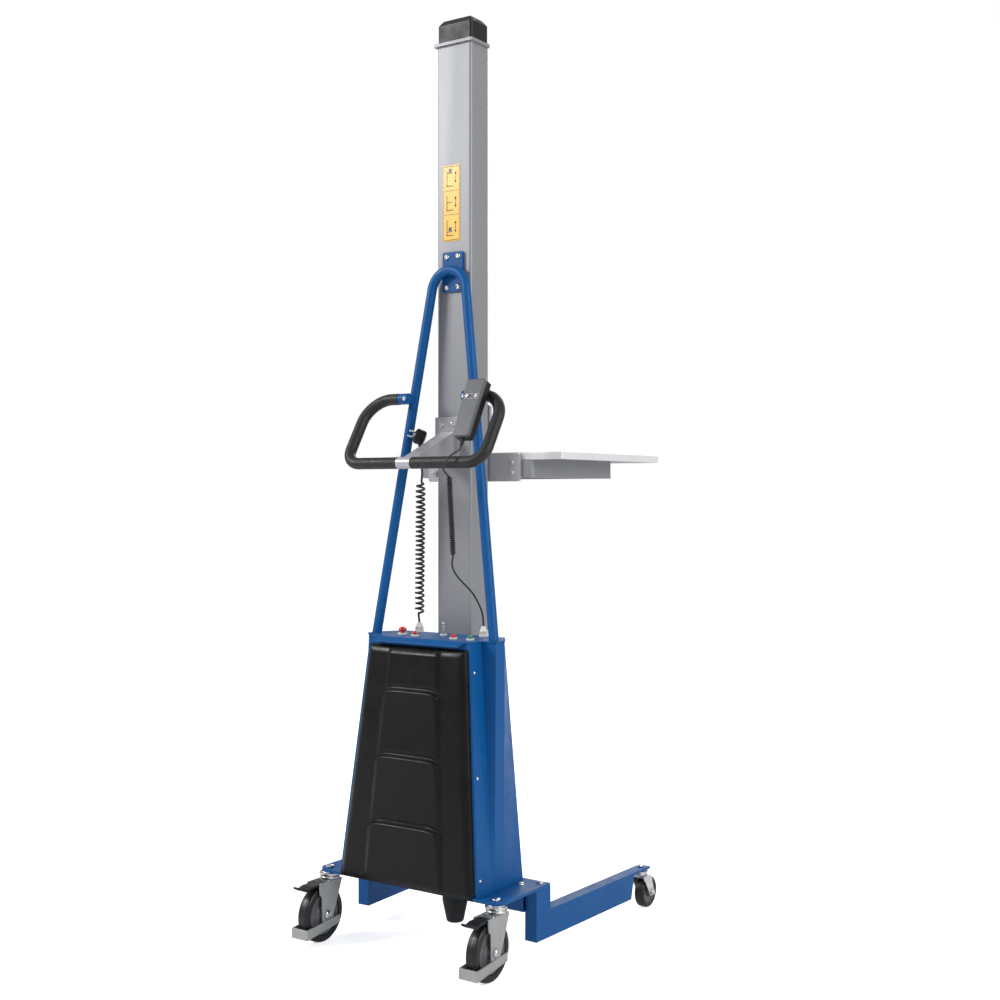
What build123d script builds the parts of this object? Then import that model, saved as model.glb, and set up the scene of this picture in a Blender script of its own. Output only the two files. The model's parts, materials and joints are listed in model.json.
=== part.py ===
from build123d import *
from math import atan2, cos, hypot, pi, radians, sin, tan
import os

# Battery work positioner: a small wheeled lift with a mast, a push frame and a lifting platform.
# Millimetres. +X is the operator's right, +Y is forwards to the load, +Z is up.
# Z = 0 is the floor, and X = Y = 0 is the middle of the machine's footprint.
# mast_back is the Y of the mast's rear face, and the Y of everything else is counted from it.

# ---------------------------------------------------------------- driving sizes
fit_gap = 0.3            # clearance between moving neighbours
shaft_gap = 0.05         # radial clearance of a shaft in its bore

mast_width = 95
mast_depth = 70
mast_wall = 3.5
mast_corner = 6
mast_top = 2020
slot_width = 24
slot_top = 1900
collar_height = 7
collar_overhang = 6
cap_height = 55

plate_top = 158
plate_thick = 6
plate_half_width = 250
plate_back = 181         # behind the mast's rear face
plate_front = 12         # ahead of the mast's rear face
tongue_half_width = 62

leg_width = 30
leg_height = 60
leg_floor_gap = 41
leg_wall = 3
leg_outer = 248          # outer face of each leg at its rear end
leg_back = 40            # rear end, behind the mast's rear face
leg_splay = 2.3          # degrees outwards
leg_upright = 53         # length of the upright block at the rear end
leg_length = 391         # to the lower front corner
nose_length = 478        # to the tip of the caster tab
nose_thick = 6
beam_depth = 60
beam_height = 50
beam_wall = 3

housing_top = 682
housing_half_top = 138.6
housing_half_bottom = 187.7
housing_back_top = 129.4
housing_back_bottom = 173.6
housing_sheet = 2
panel_thick = 3
panel_overhang = 2
lip_half_width = 125
lip_reach = 12
lip_drop = 9
pad_thick = 24
pad_margin = 7
pad_round = 10

frame_tube = 11          # radius of the push frame's tube
frame_wall = 2
frame_foot_x = 162
frame_foot_back = 76
frame_lean_x = 0.1472    # how fast each leg comes in, per unit of height
frame_lean_y = 0.0725    # how fast it leans forwards, per unit of height
frame_bend = 47.6
frame_plate_width = 56
frame_plate_height = 90
frame_plate_thick = 6
frame_plate_z = 1504

bar_half_width = 187.5   # handlebar centreline
bar_back = 155.6
bar_z = 1069
bar_rise = 147
bar_lean = 0.606         # forwards per unit of height
bar_radius = 10
bar_wall = 2
grip_radius = 13
bar_low_bend = 38
bar_high_bend = 62
bar_end_x = 84           # where the bar ends behind the frame tube
grip_end_x = 103

arm_x = -17              # handlebar arm
arm_width = 38
arm_sheet = 4
arm_plate_half = 33
arm_plate_top = 1176
arm_plate_bottom = 1082
arm_root_z = 1141

handset_at = (130, 126, 1188)   # X, distance behind the mast, Z of the face's middle
handset_lean = 26
handset_length = 140
handset_wide = 50
handset_narrow = 41
handset_thick = 24
handset_wall = 2.5
face_thick = 8
key_radius = 4.5
key_spread = 12
key_up = 27
key_travel = 1.5

rear_wheel = 62.5        # radius
rear_tread = 28
rear_axis_x = 228
rear_axis_back = 163
rear_trail = 32
front_wheel = 37.5
front_tread = 25
front_trail = 26
nose_axis_back = 20       # swivel axis, behind the tip of the caster tab
fork_sheet = 3
pedal_reach = 104        # from the swivel axis to the pedal's tip
axle_radius = 5

platform_top = 1096      # at rest
platform_half = 236
platform_length = 460
platform_rim = 17
platform_sheet = 2
platform_gap = 84        # ahead of the mast's rear face
support_half = 158
support_height = 55
support_length = 364
support_tube = 40
carriage_half = 128
carriage_low = 1030
carriage_high = 1206
carriage_thick = 8
carriage_neck = 18
glide_low = 1100
glide_high = 1200
glide_block = 22

pulley_radius = 25
belt_thick = 3
belt_width = 16
drive_z = 200
idler_z = 1960
pulley_width = 20
drive_shaft = 7

# ---------------------------------------------------------------- places worked out from them
overall_back = rear_axis_back + pedal_reach
overall_front = platform_gap + platform_length
mast_back = (overall_back - overall_front) / 2
mast_front = mast_back + mast_depth
plate_bottom = plate_top - plate_thick
leg_top = leg_floor_gap + leg_height
housing_height = housing_top - plate_top
housing_tilt = (housing_back_bottom - housing_back_top) / housing_height
housing_taper = (housing_half_bottom - housing_half_top) / housing_height
panel_top = housing_top + panel_thick
pulley_y = mast_back + mast_depth / 2 - 5
rear_axis_y = mast_back - rear_axis_back
carriage_back = mast_front + 4
carriage_front = carriage_back + carriage_thick
os.makedirs("parts", exist_ok=True)


def keep(piece, label):
    """Name a finished piece and write it to its own file."""
    piece.part.label = label
    export_step(piece.part, f"parts/{label}.step")


def behind(distance):
    """Y of a point this far behind the mast's rear face."""
    return mast_back - distance


def facing_back(x, y, z):
    """Plane whose normal points back to the operator, with its own Y upwards."""
    return Plane(origin=(x, y, z), x_dir=(1, 0, 0), z_dir=(0, -1, 0))


def facing_right(x, y, z):
    """Plane whose normal is +X, with its own X along +Y and its own Y upwards."""
    return Plane(origin=(x, y, z), x_dir=(0, 1, 0), z_dir=(1, 0, 0))


def housing_half(z):
    """Half width of the housing at a height."""
    return housing_half_bottom - housing_taper * (z - plate_top)


def housing_back(z):
    """Y of the housing's rear face at a height."""
    return behind(housing_back_bottom - housing_tilt * (z - plate_top))


# ---------------------------------------------------------------- base
caster_spots = [(-rear_axis_x, rear_axis_y), (rear_axis_x, rear_axis_y)]
stud_radius = 6
motor_x = 62
motor_y = behind(80)
motor_radius = 28
upright_bolt_x = leg_outer - leg_width / 2
upright_bolt_y = behind(2)
beam_bolt_x = leg_outer - leg_width - 14
beam_bolt_y = behind(34)
bolt_radius = 4
plate_rear_round = 26
tongue_round = 6
motor_play = 3

with BuildPart() as base_plate:
    with BuildSketch(Plane.XY.offset(plate_bottom)):
        with Locations((0, (behind(plate_back) + mast_back + plate_front) / 2)):
            Rectangle(2 * plate_half_width, plate_back + plate_front)
        with Locations((0, mast_front - mast_depth / 2)):
            Rectangle(2 * tongue_half_width, mast_depth + 4)
    extrude(amount=plate_thick)
    fillet(base_plate.edges().filter_by(Axis.Z).group_by(Axis.Y)[0], radius=plate_rear_round)
    fillet(base_plate.edges().filter_by(Axis.Z).group_by(Axis.Y)[-1], radius=tongue_round)
    with Locations(*[(x, y, plate_top) for x, y in caster_spots]):
        Hole(stud_radius)
    with Locations((motor_x, motor_y, plate_top)):
        Hole(motor_radius + motor_play)
    for side in (-1, 1):
        upright_hole = (side * upright_bolt_x, upright_bolt_y, plate_top)
        beam_hole = (side * beam_bolt_x, beam_bolt_y, plate_top)
        with Locations(upright_hole, beam_hole):
            Hole(bolt_radius)
keep(base_plate, "base_plate")

beam_half = leg_outer - leg_width
beam_y = mast_back + plate_front - beam_depth / 2
beam_z = plate_bottom - beam_height / 2
beam_round = 5
with BuildPart() as cross_beam:
    with BuildSketch(facing_right(-beam_half, beam_y, beam_z)):
        RectangleRounded(beam_depth, beam_height, beam_round)
        RectangleRounded(
            beam_depth - 2 * beam_wall,
            beam_height - 2 * beam_wall,
            beam_round - beam_wall,
            mode=Mode.SUBTRACT,
        )
    extrude(amount=2 * beam_half)
    with Locations((-beam_bolt_x, beam_bolt_y, plate_bottom), (beam_bolt_x, beam_bolt_y, plate_bottom)):
        Hole(bolt_radius, depth=beam_wall + 2)
keep(cross_beam, "cross_beam")


nose_slope = 14          # how far the leg's front end leans forwards under the tab


def leg_profile():
    """Side view of a leg, along its own length, with the upright at the rear and the caster tab in front."""
    return [
        (0, leg_floor_gap),
        (leg_length, leg_floor_gap),
        (leg_length + nose_slope, leg_top - nose_thick),
        (nose_length, leg_top - nose_thick),
        (nose_length, leg_top),
        (leg_upright, leg_top),
        (leg_upright, plate_bottom),
        (0, plate_bottom),
    ]


leg_cap = 4
upright_bolt_depth = 30
front_axis_along = nose_length - nose_axis_back
for side, label in ((-1, "left_leg"), (1, "right_leg")):
    along = Plane(
        origin=(side * leg_outer, behind(leg_back), 0),
        x_dir=(side * sin(radians(leg_splay)), cos(radians(leg_splay)), 0),
        z_dir=(cos(radians(leg_splay)), -side * sin(radians(leg_splay)), 0),
    )
    with BuildPart() as leg:
        with BuildSketch(along):
            with BuildLine():
                Polyline(*leg_profile(), close=True)
            make_face()
        extrude(amount=-side * leg_width)
        fillet(leg.edges().filter_by(Axis.Z).group_by(Axis.Y)[-1], radius=leg_width / 2 - 0.5)
        with BuildSketch(along.offset(-side * leg_wall)):
            with BuildLine():
                Polyline(
                    (leg_cap, leg_floor_gap + leg_wall),
                    (leg_length + leg_wall / 2, leg_floor_gap + leg_wall),
                    (leg_length + nose_slope - leg_wall, leg_top - nose_thick),
                    (leg_cap, leg_top - nose_thick),
                    close=True,
                )
            make_face()
        extrude(amount=-side * (leg_width - 2 * leg_wall), mode=Mode.SUBTRACT)
        with Locations((side * upright_bolt_x, upright_bolt_y, plate_bottom)):
            Hole(bolt_radius, depth=upright_bolt_depth)
        with BuildSketch(Plane(along.from_local_coords((front_axis_along, leg_top, -side * leg_width / 2)))):
            Circle(bolt_radius)
        extrude(amount=-2 * nose_thick, mode=Mode.SUBTRACT)
    keep(leg, label)

# ---------------------------------------------------------------- housing
sheet_front = behind(1)
foot_swell = frame_tube + 3
swell_blend = 25         # how much shorter the swelling is at each end by the base plate
shaft_hole = drive_shaft + 5


def housing_outline(z, inset, front_y):
    """Plan of the housing at a height: its sides swell out round the feet of the push frame."""
    share = (z - plate_top) / housing_height
    side = housing_half(z) - inset
    swell = share * (frame_foot_x + foot_swell) + (1 - share) * housing_half_bottom - inset
    back = housing_back(z) + inset
    swell_back = behind(frame_foot_back + foot_swell) - (1 - share) * swell_blend + inset
    swell_front = behind(frame_foot_back - 1.5 * foot_swell) + (1 - share) * swell_blend
    right = [(side, back), (side, swell_back), (swell, swell_back + 2), (swell, swell_front), (side, front_y)]
    return right + [(-x, y) for x, y in reversed(right)]


with BuildPart() as housing_shell:
    for z in (plate_top, housing_top):
        with BuildSketch(Plane.XY.offset(z)):
            with BuildLine():
                Polyline(*housing_outline(z, 0, sheet_front), close=True)
            make_face()
    loft(ruled=True)
    for z in (plate_top, housing_top):
        with BuildSketch(Plane.XY.offset(z)):
            with BuildLine():
                Polyline(*housing_outline(z, housing_sheet, sheet_front + 1), close=True)
            make_face()
    loft(ruled=True, mode=Mode.SUBTRACT)
keep(housing_shell, "housing_shell")

front_play = housing_sheet + 0.2
with BuildPart() as housing_front:
    with BuildSketch(facing_back(0, sheet_front, 0)):
        with BuildLine():
            Polyline(
                (-housing_half_bottom + front_play, plate_top),
                (housing_half_bottom - front_play, plate_top),
                (housing_half_top - front_play, housing_top),
                (-housing_half_top + front_play, housing_top),
                close=True,
            )
        make_face()
        with Locations((0, drive_z)):
            Circle(shaft_hole, mode=Mode.SUBTRACT)
    extrude(amount=housing_sheet)
keep(housing_front, "housing_front")

stop_spot = (-86, behind(78))
lamp_spots = [(-40, behind(92)), (67, behind(94)), (111, behind(92))]
toggle_spot = (5, behind(46))
gland_spots = [(-87, behind(15)), (92, behind(15))]
panel_hole = 6
with BuildPart() as top_panel:
    with BuildSketch(Plane.XY.offset(housing_top)):
        with BuildLine():
            Polyline(*housing_outline(housing_top, -panel_overhang, sheet_front), close=True)
        make_face()
    extrude(amount=panel_thick)
    edge_y = housing_back(housing_top) - panel_overhang
    for reach, drop, half in ((0, 0, lip_half_width), (lip_reach, lip_drop, lip_half_width - lip_reach)):
        with BuildSketch(facing_back(0, edge_y - reach, panel_top - panel_thick / 2 - drop)):
            Rectangle(2 * half, panel_thick)
    loft(ruled=True)
    with Locations((stop_spot[0], stop_spot[1], panel_top), (toggle_spot[0], toggle_spot[1], panel_top)):
        Hole(panel_hole, depth=panel_thick)
keep(top_panel, "top_panel")

pad_bottom = plate_top + pad_margin
pad_top = housing_top - 2 * pad_margin
with BuildPart() as back_pad:
    pad_plane = Plane(
        origin=(0, housing_back(pad_bottom), pad_bottom), x_dir=(1, 0, 0), z_dir=(0, -1, housing_tilt)
    )
    with BuildSketch(pad_plane):
        with BuildLine():
            Polyline(
                (-housing_half(pad_bottom) + pad_margin, 0),
                (housing_half(pad_bottom) - pad_margin, 0),
                (housing_half(pad_top) - pad_margin, (pad_top - pad_bottom) * hypot(1, housing_tilt)),
                (-housing_half(pad_top) + pad_margin, (pad_top - pad_bottom) * hypot(1, housing_tilt)),
                close=True,
            )
        make_face()
    extrude(amount=pad_thick)
    fillet(back_pad.faces().sort_by(Axis((0, 0, 0), (0, -1, housing_tilt)))[-1].edges(), radius=pad_round)
keep(back_pad, "back_pad")

rivet_radius = 4
rivet_heights = (190, 400, 620)
rivet_edge = 12          # from the housing's rear edge
with BuildPart() as housing_rivets:
    for side in (-1, 1):
        for z in rivet_heights:
            spot = (side * housing_half(z), housing_back(z) + rivet_edge, z)
            with BuildSketch(Plane(origin=spot, x_dir=(0, side, 0), z_dir=(side, 0, housing_taper))):
                Circle(rivet_radius)
            extrude(amount=2, taper=30)
keep(housing_rivets, "housing_rivets")

# ---------------------------------------------------------------- inside the housing
gearbox_left = -40
gearbox_right = 95
gearbox_height = 92
gearbox_back = 112
gearbox_front = 30
gearbox_round = 8
shaft_pocket = 34
motor_bottom = 66
motor_shoulder = 112     # the motor's case narrows below this height
motor_taper = 12
motor_round = 5
with BuildPart() as drive_motor:
    with BuildSketch(Plane.XY.offset(motor_shoulder)):
        with Locations((motor_x, motor_y)):
            Circle(motor_radius)
    extrude(amount=plate_top - motor_shoulder)
    with BuildSketch(Plane.XY.offset(motor_shoulder)):
        with Locations((motor_x, motor_y)):
            Circle(motor_radius)
    extrude(amount=motor_bottom - motor_shoulder, taper=motor_taper)
    fillet(drive_motor.edges().group_by(Axis.Z)[0], radius=motor_round)
keep(drive_motor, "drive_motor")

with BuildPart() as gearbox:
    with BuildSketch(Plane.XY.offset(plate_top)):
        with Locations(((gearbox_left + gearbox_right) / 2, behind((gearbox_back + gearbox_front) / 2))):
            RectangleRounded(gearbox_right - gearbox_left, gearbox_back - gearbox_front, gearbox_round)
    extrude(amount=gearbox_height)
    fillet(gearbox.edges().group_by(Axis.Z)[-1], radius=gearbox_round / 2)
    with BuildSketch(facing_back(0, behind(gearbox_front), drive_z)):
        Circle(drive_shaft + shaft_gap)
    extrude(amount=shaft_pocket, mode=Mode.SUBTRACT)
keep(gearbox, "gearbox")

battery_length = 151
battery_width = 65
battery_height = 95
battery_left = -175
battery_front = 8
terminal_size = 8
terminal_rise = 6
terminal_inset = 20
with BuildPart() as battery_pack:
    for left in (battery_left, battery_left + battery_width + 1):
        with BuildSketch(Plane.XY.offset(plate_top)):
            with Locations((left + battery_width / 2, behind(battery_front + battery_length / 2))):
                RectangleRounded(battery_width, battery_length, 2)
        extrude(amount=battery_height)
        for along in (terminal_inset, battery_length - terminal_inset):
            with BuildSketch(Plane.XY.offset(plate_top + battery_height)):
                with Locations((left + battery_width / 2, behind(battery_front + along))):
                    Rectangle(terminal_size, terminal_size)
            extrude(amount=terminal_rise)
keep(battery_pack, "battery_pack")

control_half = 60
control_bottom = 420
control_height = 140
control_deep = 38
with BuildPart() as control_unit:
    with BuildSketch(facing_back(0, sheet_front - housing_sheet, control_bottom + control_height / 2)):
        RectangleRounded(2 * control_half, control_height, 4)
    extrude(amount=control_deep)
    fillet(control_unit.edges().group_by(Axis.Y)[0], radius=3)
keep(control_unit, "control_unit")

pulley_front = pulley_y + pulley_width / 2
shaft_back = behind(60)
shaft_nose = 4           # how far the shaft stands out in front of its pulley
keyway_length = 8
keyway_width = 4
with BuildPart() as drive_pulley:
    with BuildSketch(facing_back(0, pulley_front, drive_z)):
        Circle(pulley_radius)
    extrude(amount=pulley_width)
    with BuildSketch(facing_back(0, pulley_front + shaft_nose, drive_z)):
        Circle(drive_shaft)
    extrude(amount=pulley_front + shaft_nose - shaft_back)
    with BuildSketch(facing_back(0, shaft_back + 1.5 * keyway_length, drive_z)):
        with Locations((drive_shaft, 0)):
            Rectangle(keyway_width / 2, keyway_width)
    extrude(amount=keyway_length, mode=Mode.SUBTRACT)
keep(drive_pulley, "drive_pulley")

idler_axle = 6
lightening_hole = 4
lightening_count = 5
with BuildPart() as idler_pulley:
    with BuildSketch(facing_back(0, pulley_front, idler_z)):
        Circle(pulley_radius)
        Circle(idler_axle + shaft_gap, mode=Mode.SUBTRACT)
        with PolarLocations((pulley_radius + idler_axle) / 2, lightening_count):
            Circle(lightening_hole, mode=Mode.SUBTRACT)
    extrude(amount=pulley_width)
keep(idler_pulley, "idler_pulley")

with BuildPart() as pulley_axle:
    with BuildSketch(facing_back(0, mast_front - mast_wall, idler_z)):
        Circle(idler_axle)
    extrude(amount=mast_depth - 2 * mast_wall)
keep(pulley_axle, "pulley_axle")

belt_inner = pulley_radius + fit_gap
belt_length = idler_z - drive_z
with BuildPart() as lift_belt:
    with BuildSketch(facing_back(0, pulley_y + belt_width / 2, (idler_z + drive_z) / 2)):
        SlotCenterToCenter(belt_length, 2 * (belt_inner + belt_thick), rotation=90)
        SlotCenterToCenter(belt_length, 2 * belt_inner, rotation=90, mode=Mode.SUBTRACT)
    extrude(amount=belt_width)
keep(lift_belt, "lift_belt")

# ---------------------------------------------------------------- mast
mast_middle = (mast_back + mast_front) / 2
slot_bottom = drive_z - pulley_radius + 11
with BuildPart() as mast_tube:
    with BuildSketch(Plane.XY.offset(plate_top)):
        with Locations((0, mast_middle)):
            RectangleRounded(mast_width, mast_depth, mast_corner)
            RectangleRounded(
                mast_width - 2 * mast_wall,
                mast_depth - 2 * mast_wall,
                mast_corner - mast_wall,
                mode=Mode.SUBTRACT,
            )
    extrude(amount=mast_top - plate_top)
    with BuildSketch(facing_back(0, mast_front + 1, (slot_top + slot_bottom) / 2)):
        Rectangle(slot_width, slot_top - slot_bottom)
    extrude(amount=mast_wall + 2, mode=Mode.SUBTRACT)
    with BuildSketch(facing_back(0, mast_back + mast_wall + 1, drive_z)):
        Circle(shaft_hole)
    extrude(amount=mast_wall + 2, mode=Mode.SUBTRACT)
keep(mast_tube, "mast_tube")

collar_recess = 3
collar_depth = mast_depth + collar_overhang - collar_recess
with BuildPart() as mast_collar:
    with BuildSketch(Plane.XY.offset(mast_top)):
        with Locations((0, mast_front - collar_recess - collar_depth / 2)):
            RectangleRounded(mast_width + 2 * collar_overhang, collar_depth, 3)
    extrude(amount=collar_height)
keep(mast_collar, "mast_collar")

cap_bevel = 13
cap_slope = 40
cap_inset = 4
with BuildPart() as mast_cap:
    with BuildSketch(Plane.XY.offset(mast_top + collar_height)):
        with Locations((0, mast_middle)):
            RectangleRounded(mast_width, mast_depth - cap_inset, mast_corner)
    extrude(amount=cap_height - cap_bevel)
    extrude(mast_cap.faces().sort_by(Axis.Z)[-1], amount=cap_bevel, taper=cap_slope)
keep(mast_cap, "mast_cap")

label_width = 48
label_height = 173
label_spot = (-7, 1661)
label_thick = 0.8
with BuildPart() as label_plate:
    with BuildSketch(facing_back(label_spot[0], mast_back, label_spot[1])):
        RectangleRounded(label_width, label_height, 2)
    extrude(amount=label_thick)
keep(label_plate, "label_plate")

# ---------------------------------------------------------------- push frame
frame_plane = Plane(
    origin=(0, behind(frame_foot_back), panel_top), x_dir=(1, 0, 0), z_dir=(0, -1, frame_lean_y)
)
frame_slant = atan2(frame_lean_x, hypot(1, frame_lean_y))
bend_side = frame_bend * cos(frame_slant)
bend_rise = frame_bend * sin(frame_slant)
bend_centre = (frame_foot_x - bend_side) / tan(frame_slant) - bend_rise
foot_extra = 12
foot_out = frame_foot_x + foot_extra * tan(frame_slant)
frame_run = Vector(bend_side - foot_out, bend_centre + bend_rise + foot_extra, 0)


def frame_centre(z):
    """X and Y of the right tube of the push frame at a height."""
    rise = z - panel_top
    return (frame_foot_x - frame_lean_x * rise, behind(frame_foot_back - frame_lean_y * rise))


plate_hole_x = frame_plate_width / 2 - 12.5
plate_hole_z = frame_plate_height / 2 - 10.5
with BuildPart() as a_frame:
    with BuildLine(frame_plane):
        Line((foot_out, -foot_extra), (bend_side, bend_centre + bend_rise))
        ThreePointArc(
            (bend_side, bend_centre + bend_rise),
            (0, bend_centre + frame_bend),
            (-bend_side, bend_centre + bend_rise),
        )
        Line((-bend_side, bend_centre + bend_rise), (-foot_out, -foot_extra))
    foot_point = frame_plane.from_local_coords(Vector(foot_out, -foot_extra, 0))
    foot_ahead = frame_plane.from_local_coords(Vector(foot_out, -foot_extra, 0) + frame_run) - foot_point
    with BuildSketch(Plane(origin=foot_point, z_dir=foot_ahead)):
        Circle(frame_tube)
        Circle(frame_tube - frame_wall, mode=Mode.SUBTRACT)
    sweep()
    split(bisect_by=Plane.XY.offset(panel_top), keep=Keep.TOP)
    with BuildSketch(facing_back(0, mast_back, frame_plate_z)):
        RectangleRounded(frame_plate_width, frame_plate_height, 4)
        with GridLocations(2 * plate_hole_x, 2 * plate_hole_z, 2, 2):
            Circle(bolt_radius, mode=Mode.SUBTRACT)
    extrude(amount=frame_plate_thick)
keep(a_frame, "a_frame")

# ---------------------------------------------------------------- handlebar
bar_slope = hypot(1, bar_lean)
bar_plane = Plane(
    origin=(0, behind(bar_back), bar_z), x_dir=(1, 0, 0), z_dir=(0, -1, bar_lean)
)
bar_up = bar_rise * bar_slope
bar_top_y = behind(bar_back - bar_lean * bar_rise)
bar_top_z = bar_z + bar_rise
with BuildPart() as handlebar_tube:
    with BuildLine(bar_plane):
        FilletPolyline(
            (-bar_end_x, bar_up),
            (-bar_half_width, bar_up),
            (-bar_half_width, 0),
            (bar_half_width, 0),
            (bar_half_width, bar_up),
            (bar_end_x, bar_up),
            radius=[bar_high_bend, bar_low_bend, bar_low_bend, bar_high_bend],
        )
    with BuildSketch(Plane(origin=(-bar_end_x, bar_top_y, bar_top_z), z_dir=(-1, 0, 0))):
        Circle(bar_radius)
        Circle(bar_radius - bar_wall, mode=Mode.SUBTRACT)
    sweep()
keep(handlebar_tube, "handlebar_tube")

arm_left = arm_x - arm_width / 2
arm_right = arm_x + arm_width / 2
grip_gap = 1
with BuildPart() as handle_grips:
    for side, inner_end in ((-1, arm_left - grip_gap), (1, arm_right + grip_gap)):
        with BuildLine(bar_plane):
            FilletPolyline(
                (side * grip_end_x, bar_up),
                (side * bar_half_width, bar_up),
                (side * bar_half_width, 0),
                (inner_end, 0),
                radius=[bar_high_bend, bar_low_bend],
            )
        with BuildSketch(Plane(origin=(side * grip_end_x, bar_top_y, bar_top_z), z_dir=(side, 0, 0))):
            Circle(grip_radius)
            Circle(bar_radius + shaft_gap, mode=Mode.SUBTRACT)
        sweep()
keep(handle_grips, "handle_grips")

arm_rest = behind(bar_back - bar_radius + 1)
arm_tip_z = bar_z + bar_radius
arm_root_inset = 3
with BuildPart() as handle_bracket:
    with BuildSketch(facing_back(arm_x, mast_back, (arm_plate_top + arm_plate_bottom) / 2)):
        RectangleRounded(2 * arm_plate_half, arm_plate_top - arm_plate_bottom, 3)
    extrude(amount=arm_sheet)
    with BuildSketch(facing_right(arm_left, 0, 0)):
        with BuildLine():
            Polyline(
                (behind(arm_sheet), arm_root_z),
                (arm_rest, arm_tip_z),
                (arm_rest, arm_tip_z - arm_sheet),
                (behind(arm_sheet), arm_root_z - arm_sheet),
                close=True,
            )
        make_face()
    extrude(amount=arm_width)
    for left in (arm_left, arm_right - arm_sheet):
        with BuildSketch(facing_right(left, 0, 0)):
            with BuildLine():
                Polyline(
                    (behind(arm_sheet), arm_root_z - arm_sheet / 2),
                    (arm_rest, arm_tip_z - arm_sheet / 2),
                    (arm_rest, arm_tip_z - 4 * arm_sheet),
                    (behind(arm_sheet), arm_plate_bottom + arm_root_inset),
                    close=True,
                )
            make_face()
        extrude(amount=arm_sheet)
    with BuildSketch(facing_right(arm_left, behind(bar_back), bar_z)):
        Circle(grip_radius)
    extrude(amount=arm_width)
    with BuildSketch(facing_right(arm_left, behind(bar_back), bar_z)):
        Circle(bar_radius + shaft_gap)
    extrude(amount=arm_width, mode=Mode.SUBTRACT)
keep(handle_bracket, "handle_bracket")

clamp_start = bar_end_x - 8
clamp_end = grip_end_x - grip_gap
clamp_wall = 2.5
clamp_lug = 16
clamp_reach = 30         # long enough to clear the whole lug along the leaning tube
clamp_x, clamp_y = frame_centre(bar_top_z)
with BuildPart() as handle_clamps:
    for side in (-1, 1):
        with BuildSketch(Plane(origin=(side * clamp_start, bar_top_y, bar_top_z), z_dir=(side, 0, 0))):
            Circle(bar_radius + clamp_wall)
        extrude(amount=clamp_end - clamp_start)
        with BuildSketch(facing_back(side * clamp_x, clamp_y, bar_top_z)):
            RectangleRounded(clamp_lug, clamp_lug, 2)
        extrude(amount=clamp_y - bar_top_y)
        with BuildSketch(Plane(origin=(side * bar_end_x, bar_top_y, bar_top_z), z_dir=(side, 0, 0))):
            Circle(bar_radius + shaft_gap)
        extrude(amount=clamp_end - bar_end_x, mode=Mode.SUBTRACT)
        tube_run = Vector(-side * frame_lean_x, frame_lean_y, 1)
        with BuildSketch(Plane(origin=(side * clamp_x, clamp_y, bar_top_z), z_dir=tube_run)):
            Circle(frame_tube)
        extrude(amount=clamp_reach, both=True, mode=Mode.SUBTRACT)
keep(handle_clamps, "handle_clamps")

# ---------------------------------------------------------------- handset on the handlebar
handset_x, handset_back, handset_z = handset_at
lean = radians(handset_lean)
face_normal = Vector(0, -cos(lean), sin(lean))
face_up = Vector(0, sin(lean), cos(lean))
face_centre = Vector(handset_x, behind(handset_back), handset_z)


def handset_plane(depth):
    """Plane parallel to the handset's face, this deep below it."""
    return Plane(origin=face_centre - face_normal * depth, x_dir=(1, 0, 0), z_dir=face_normal)


def handset_corners(inset):
    """Tapered outline of the handset, wide at the top."""
    high = handset_length / 2 - inset
    return [
        (-handset_wide / 2 + inset, high),
        (handset_wide / 2 - inset, high),
        (handset_narrow / 2 - inset, -high),
        (-handset_narrow / 2 + inset, -high),
    ]


relief_length = 15
relief_radius = 5
relief_taper = 6
handset_cord = 4
handset_round = 6
face_round = 3
with BuildPart() as handset_body:
    with BuildSketch(handset_plane(handset_thick)):
        with BuildLine():
            Polyline(*handset_corners(0), close=True)
        make_face()
        fillet(vertices(), radius=handset_round)
    extrude(amount=handset_thick - face_thick)
    with BuildSketch(handset_plane(handset_thick - handset_wall)):
        with BuildLine():
            Polyline(*handset_corners(handset_wall), close=True)
        make_face()
        fillet(vertices(), radius=handset_round - handset_wall)
    extrude(amount=handset_thick - face_thick - handset_wall, mode=Mode.SUBTRACT)
    relief_root = face_centre - face_normal * (handset_thick / 2 + 2) - face_up * (handset_length / 2)
    with BuildSketch(Plane(origin=relief_root, z_dir=face_up * -1)):
        Circle(relief_radius)
    extrude(amount=relief_length, taper=relief_taper)
keep(handset_body, "handset_body")
relief_tip = relief_root - face_up * relief_length

key_strip_length = 40
key_strip_width = 15
key_strip_depth = 1.5
with BuildPart() as handset_face:
    with BuildSketch(handset_plane(face_thick)):
        with BuildLine():
            Polyline(*handset_corners(0), close=True)
        make_face()
        fillet(vertices(), radius=handset_round)
    extrude(amount=face_thick)
    fillet(handset_face.faces().sort_by(Axis((0, 0, 0), tuple(face_normal)))[-1].edges(), radius=face_round)
    with BuildSketch(handset_plane(0)):
        with Locations((0, key_up)):
            RectangleRounded(key_strip_length, key_strip_width, face_round)
    extrude(amount=-key_strip_depth, mode=Mode.SUBTRACT)
    with BuildSketch(handset_plane(0)):
        with Locations((-key_spread, key_up), (key_spread, key_up)):
            Circle(key_radius + fit_gap)
    extrude(amount=-face_thick, mode=Mode.SUBTRACT)
keep(handset_face, "handset_face")

key_flange = key_radius + 2
key_proud = 1
for side, label in ((-1, "up_button"), (1, "down_button")):
    with BuildPart() as key:
        with BuildSketch(handset_plane(face_thick + fit_gap + key_travel)):
            with Locations((side * key_spread, key_up)):
                Circle(key_flange)
        extrude(amount=key_travel)
        with BuildSketch(handset_plane(face_thick + fit_gap)):
            with Locations((side * key_spread, key_up)):
                Circle(key_radius)
        extrude(amount=face_thick + fit_gap + key_proud)
    keep(key, label)

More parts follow.
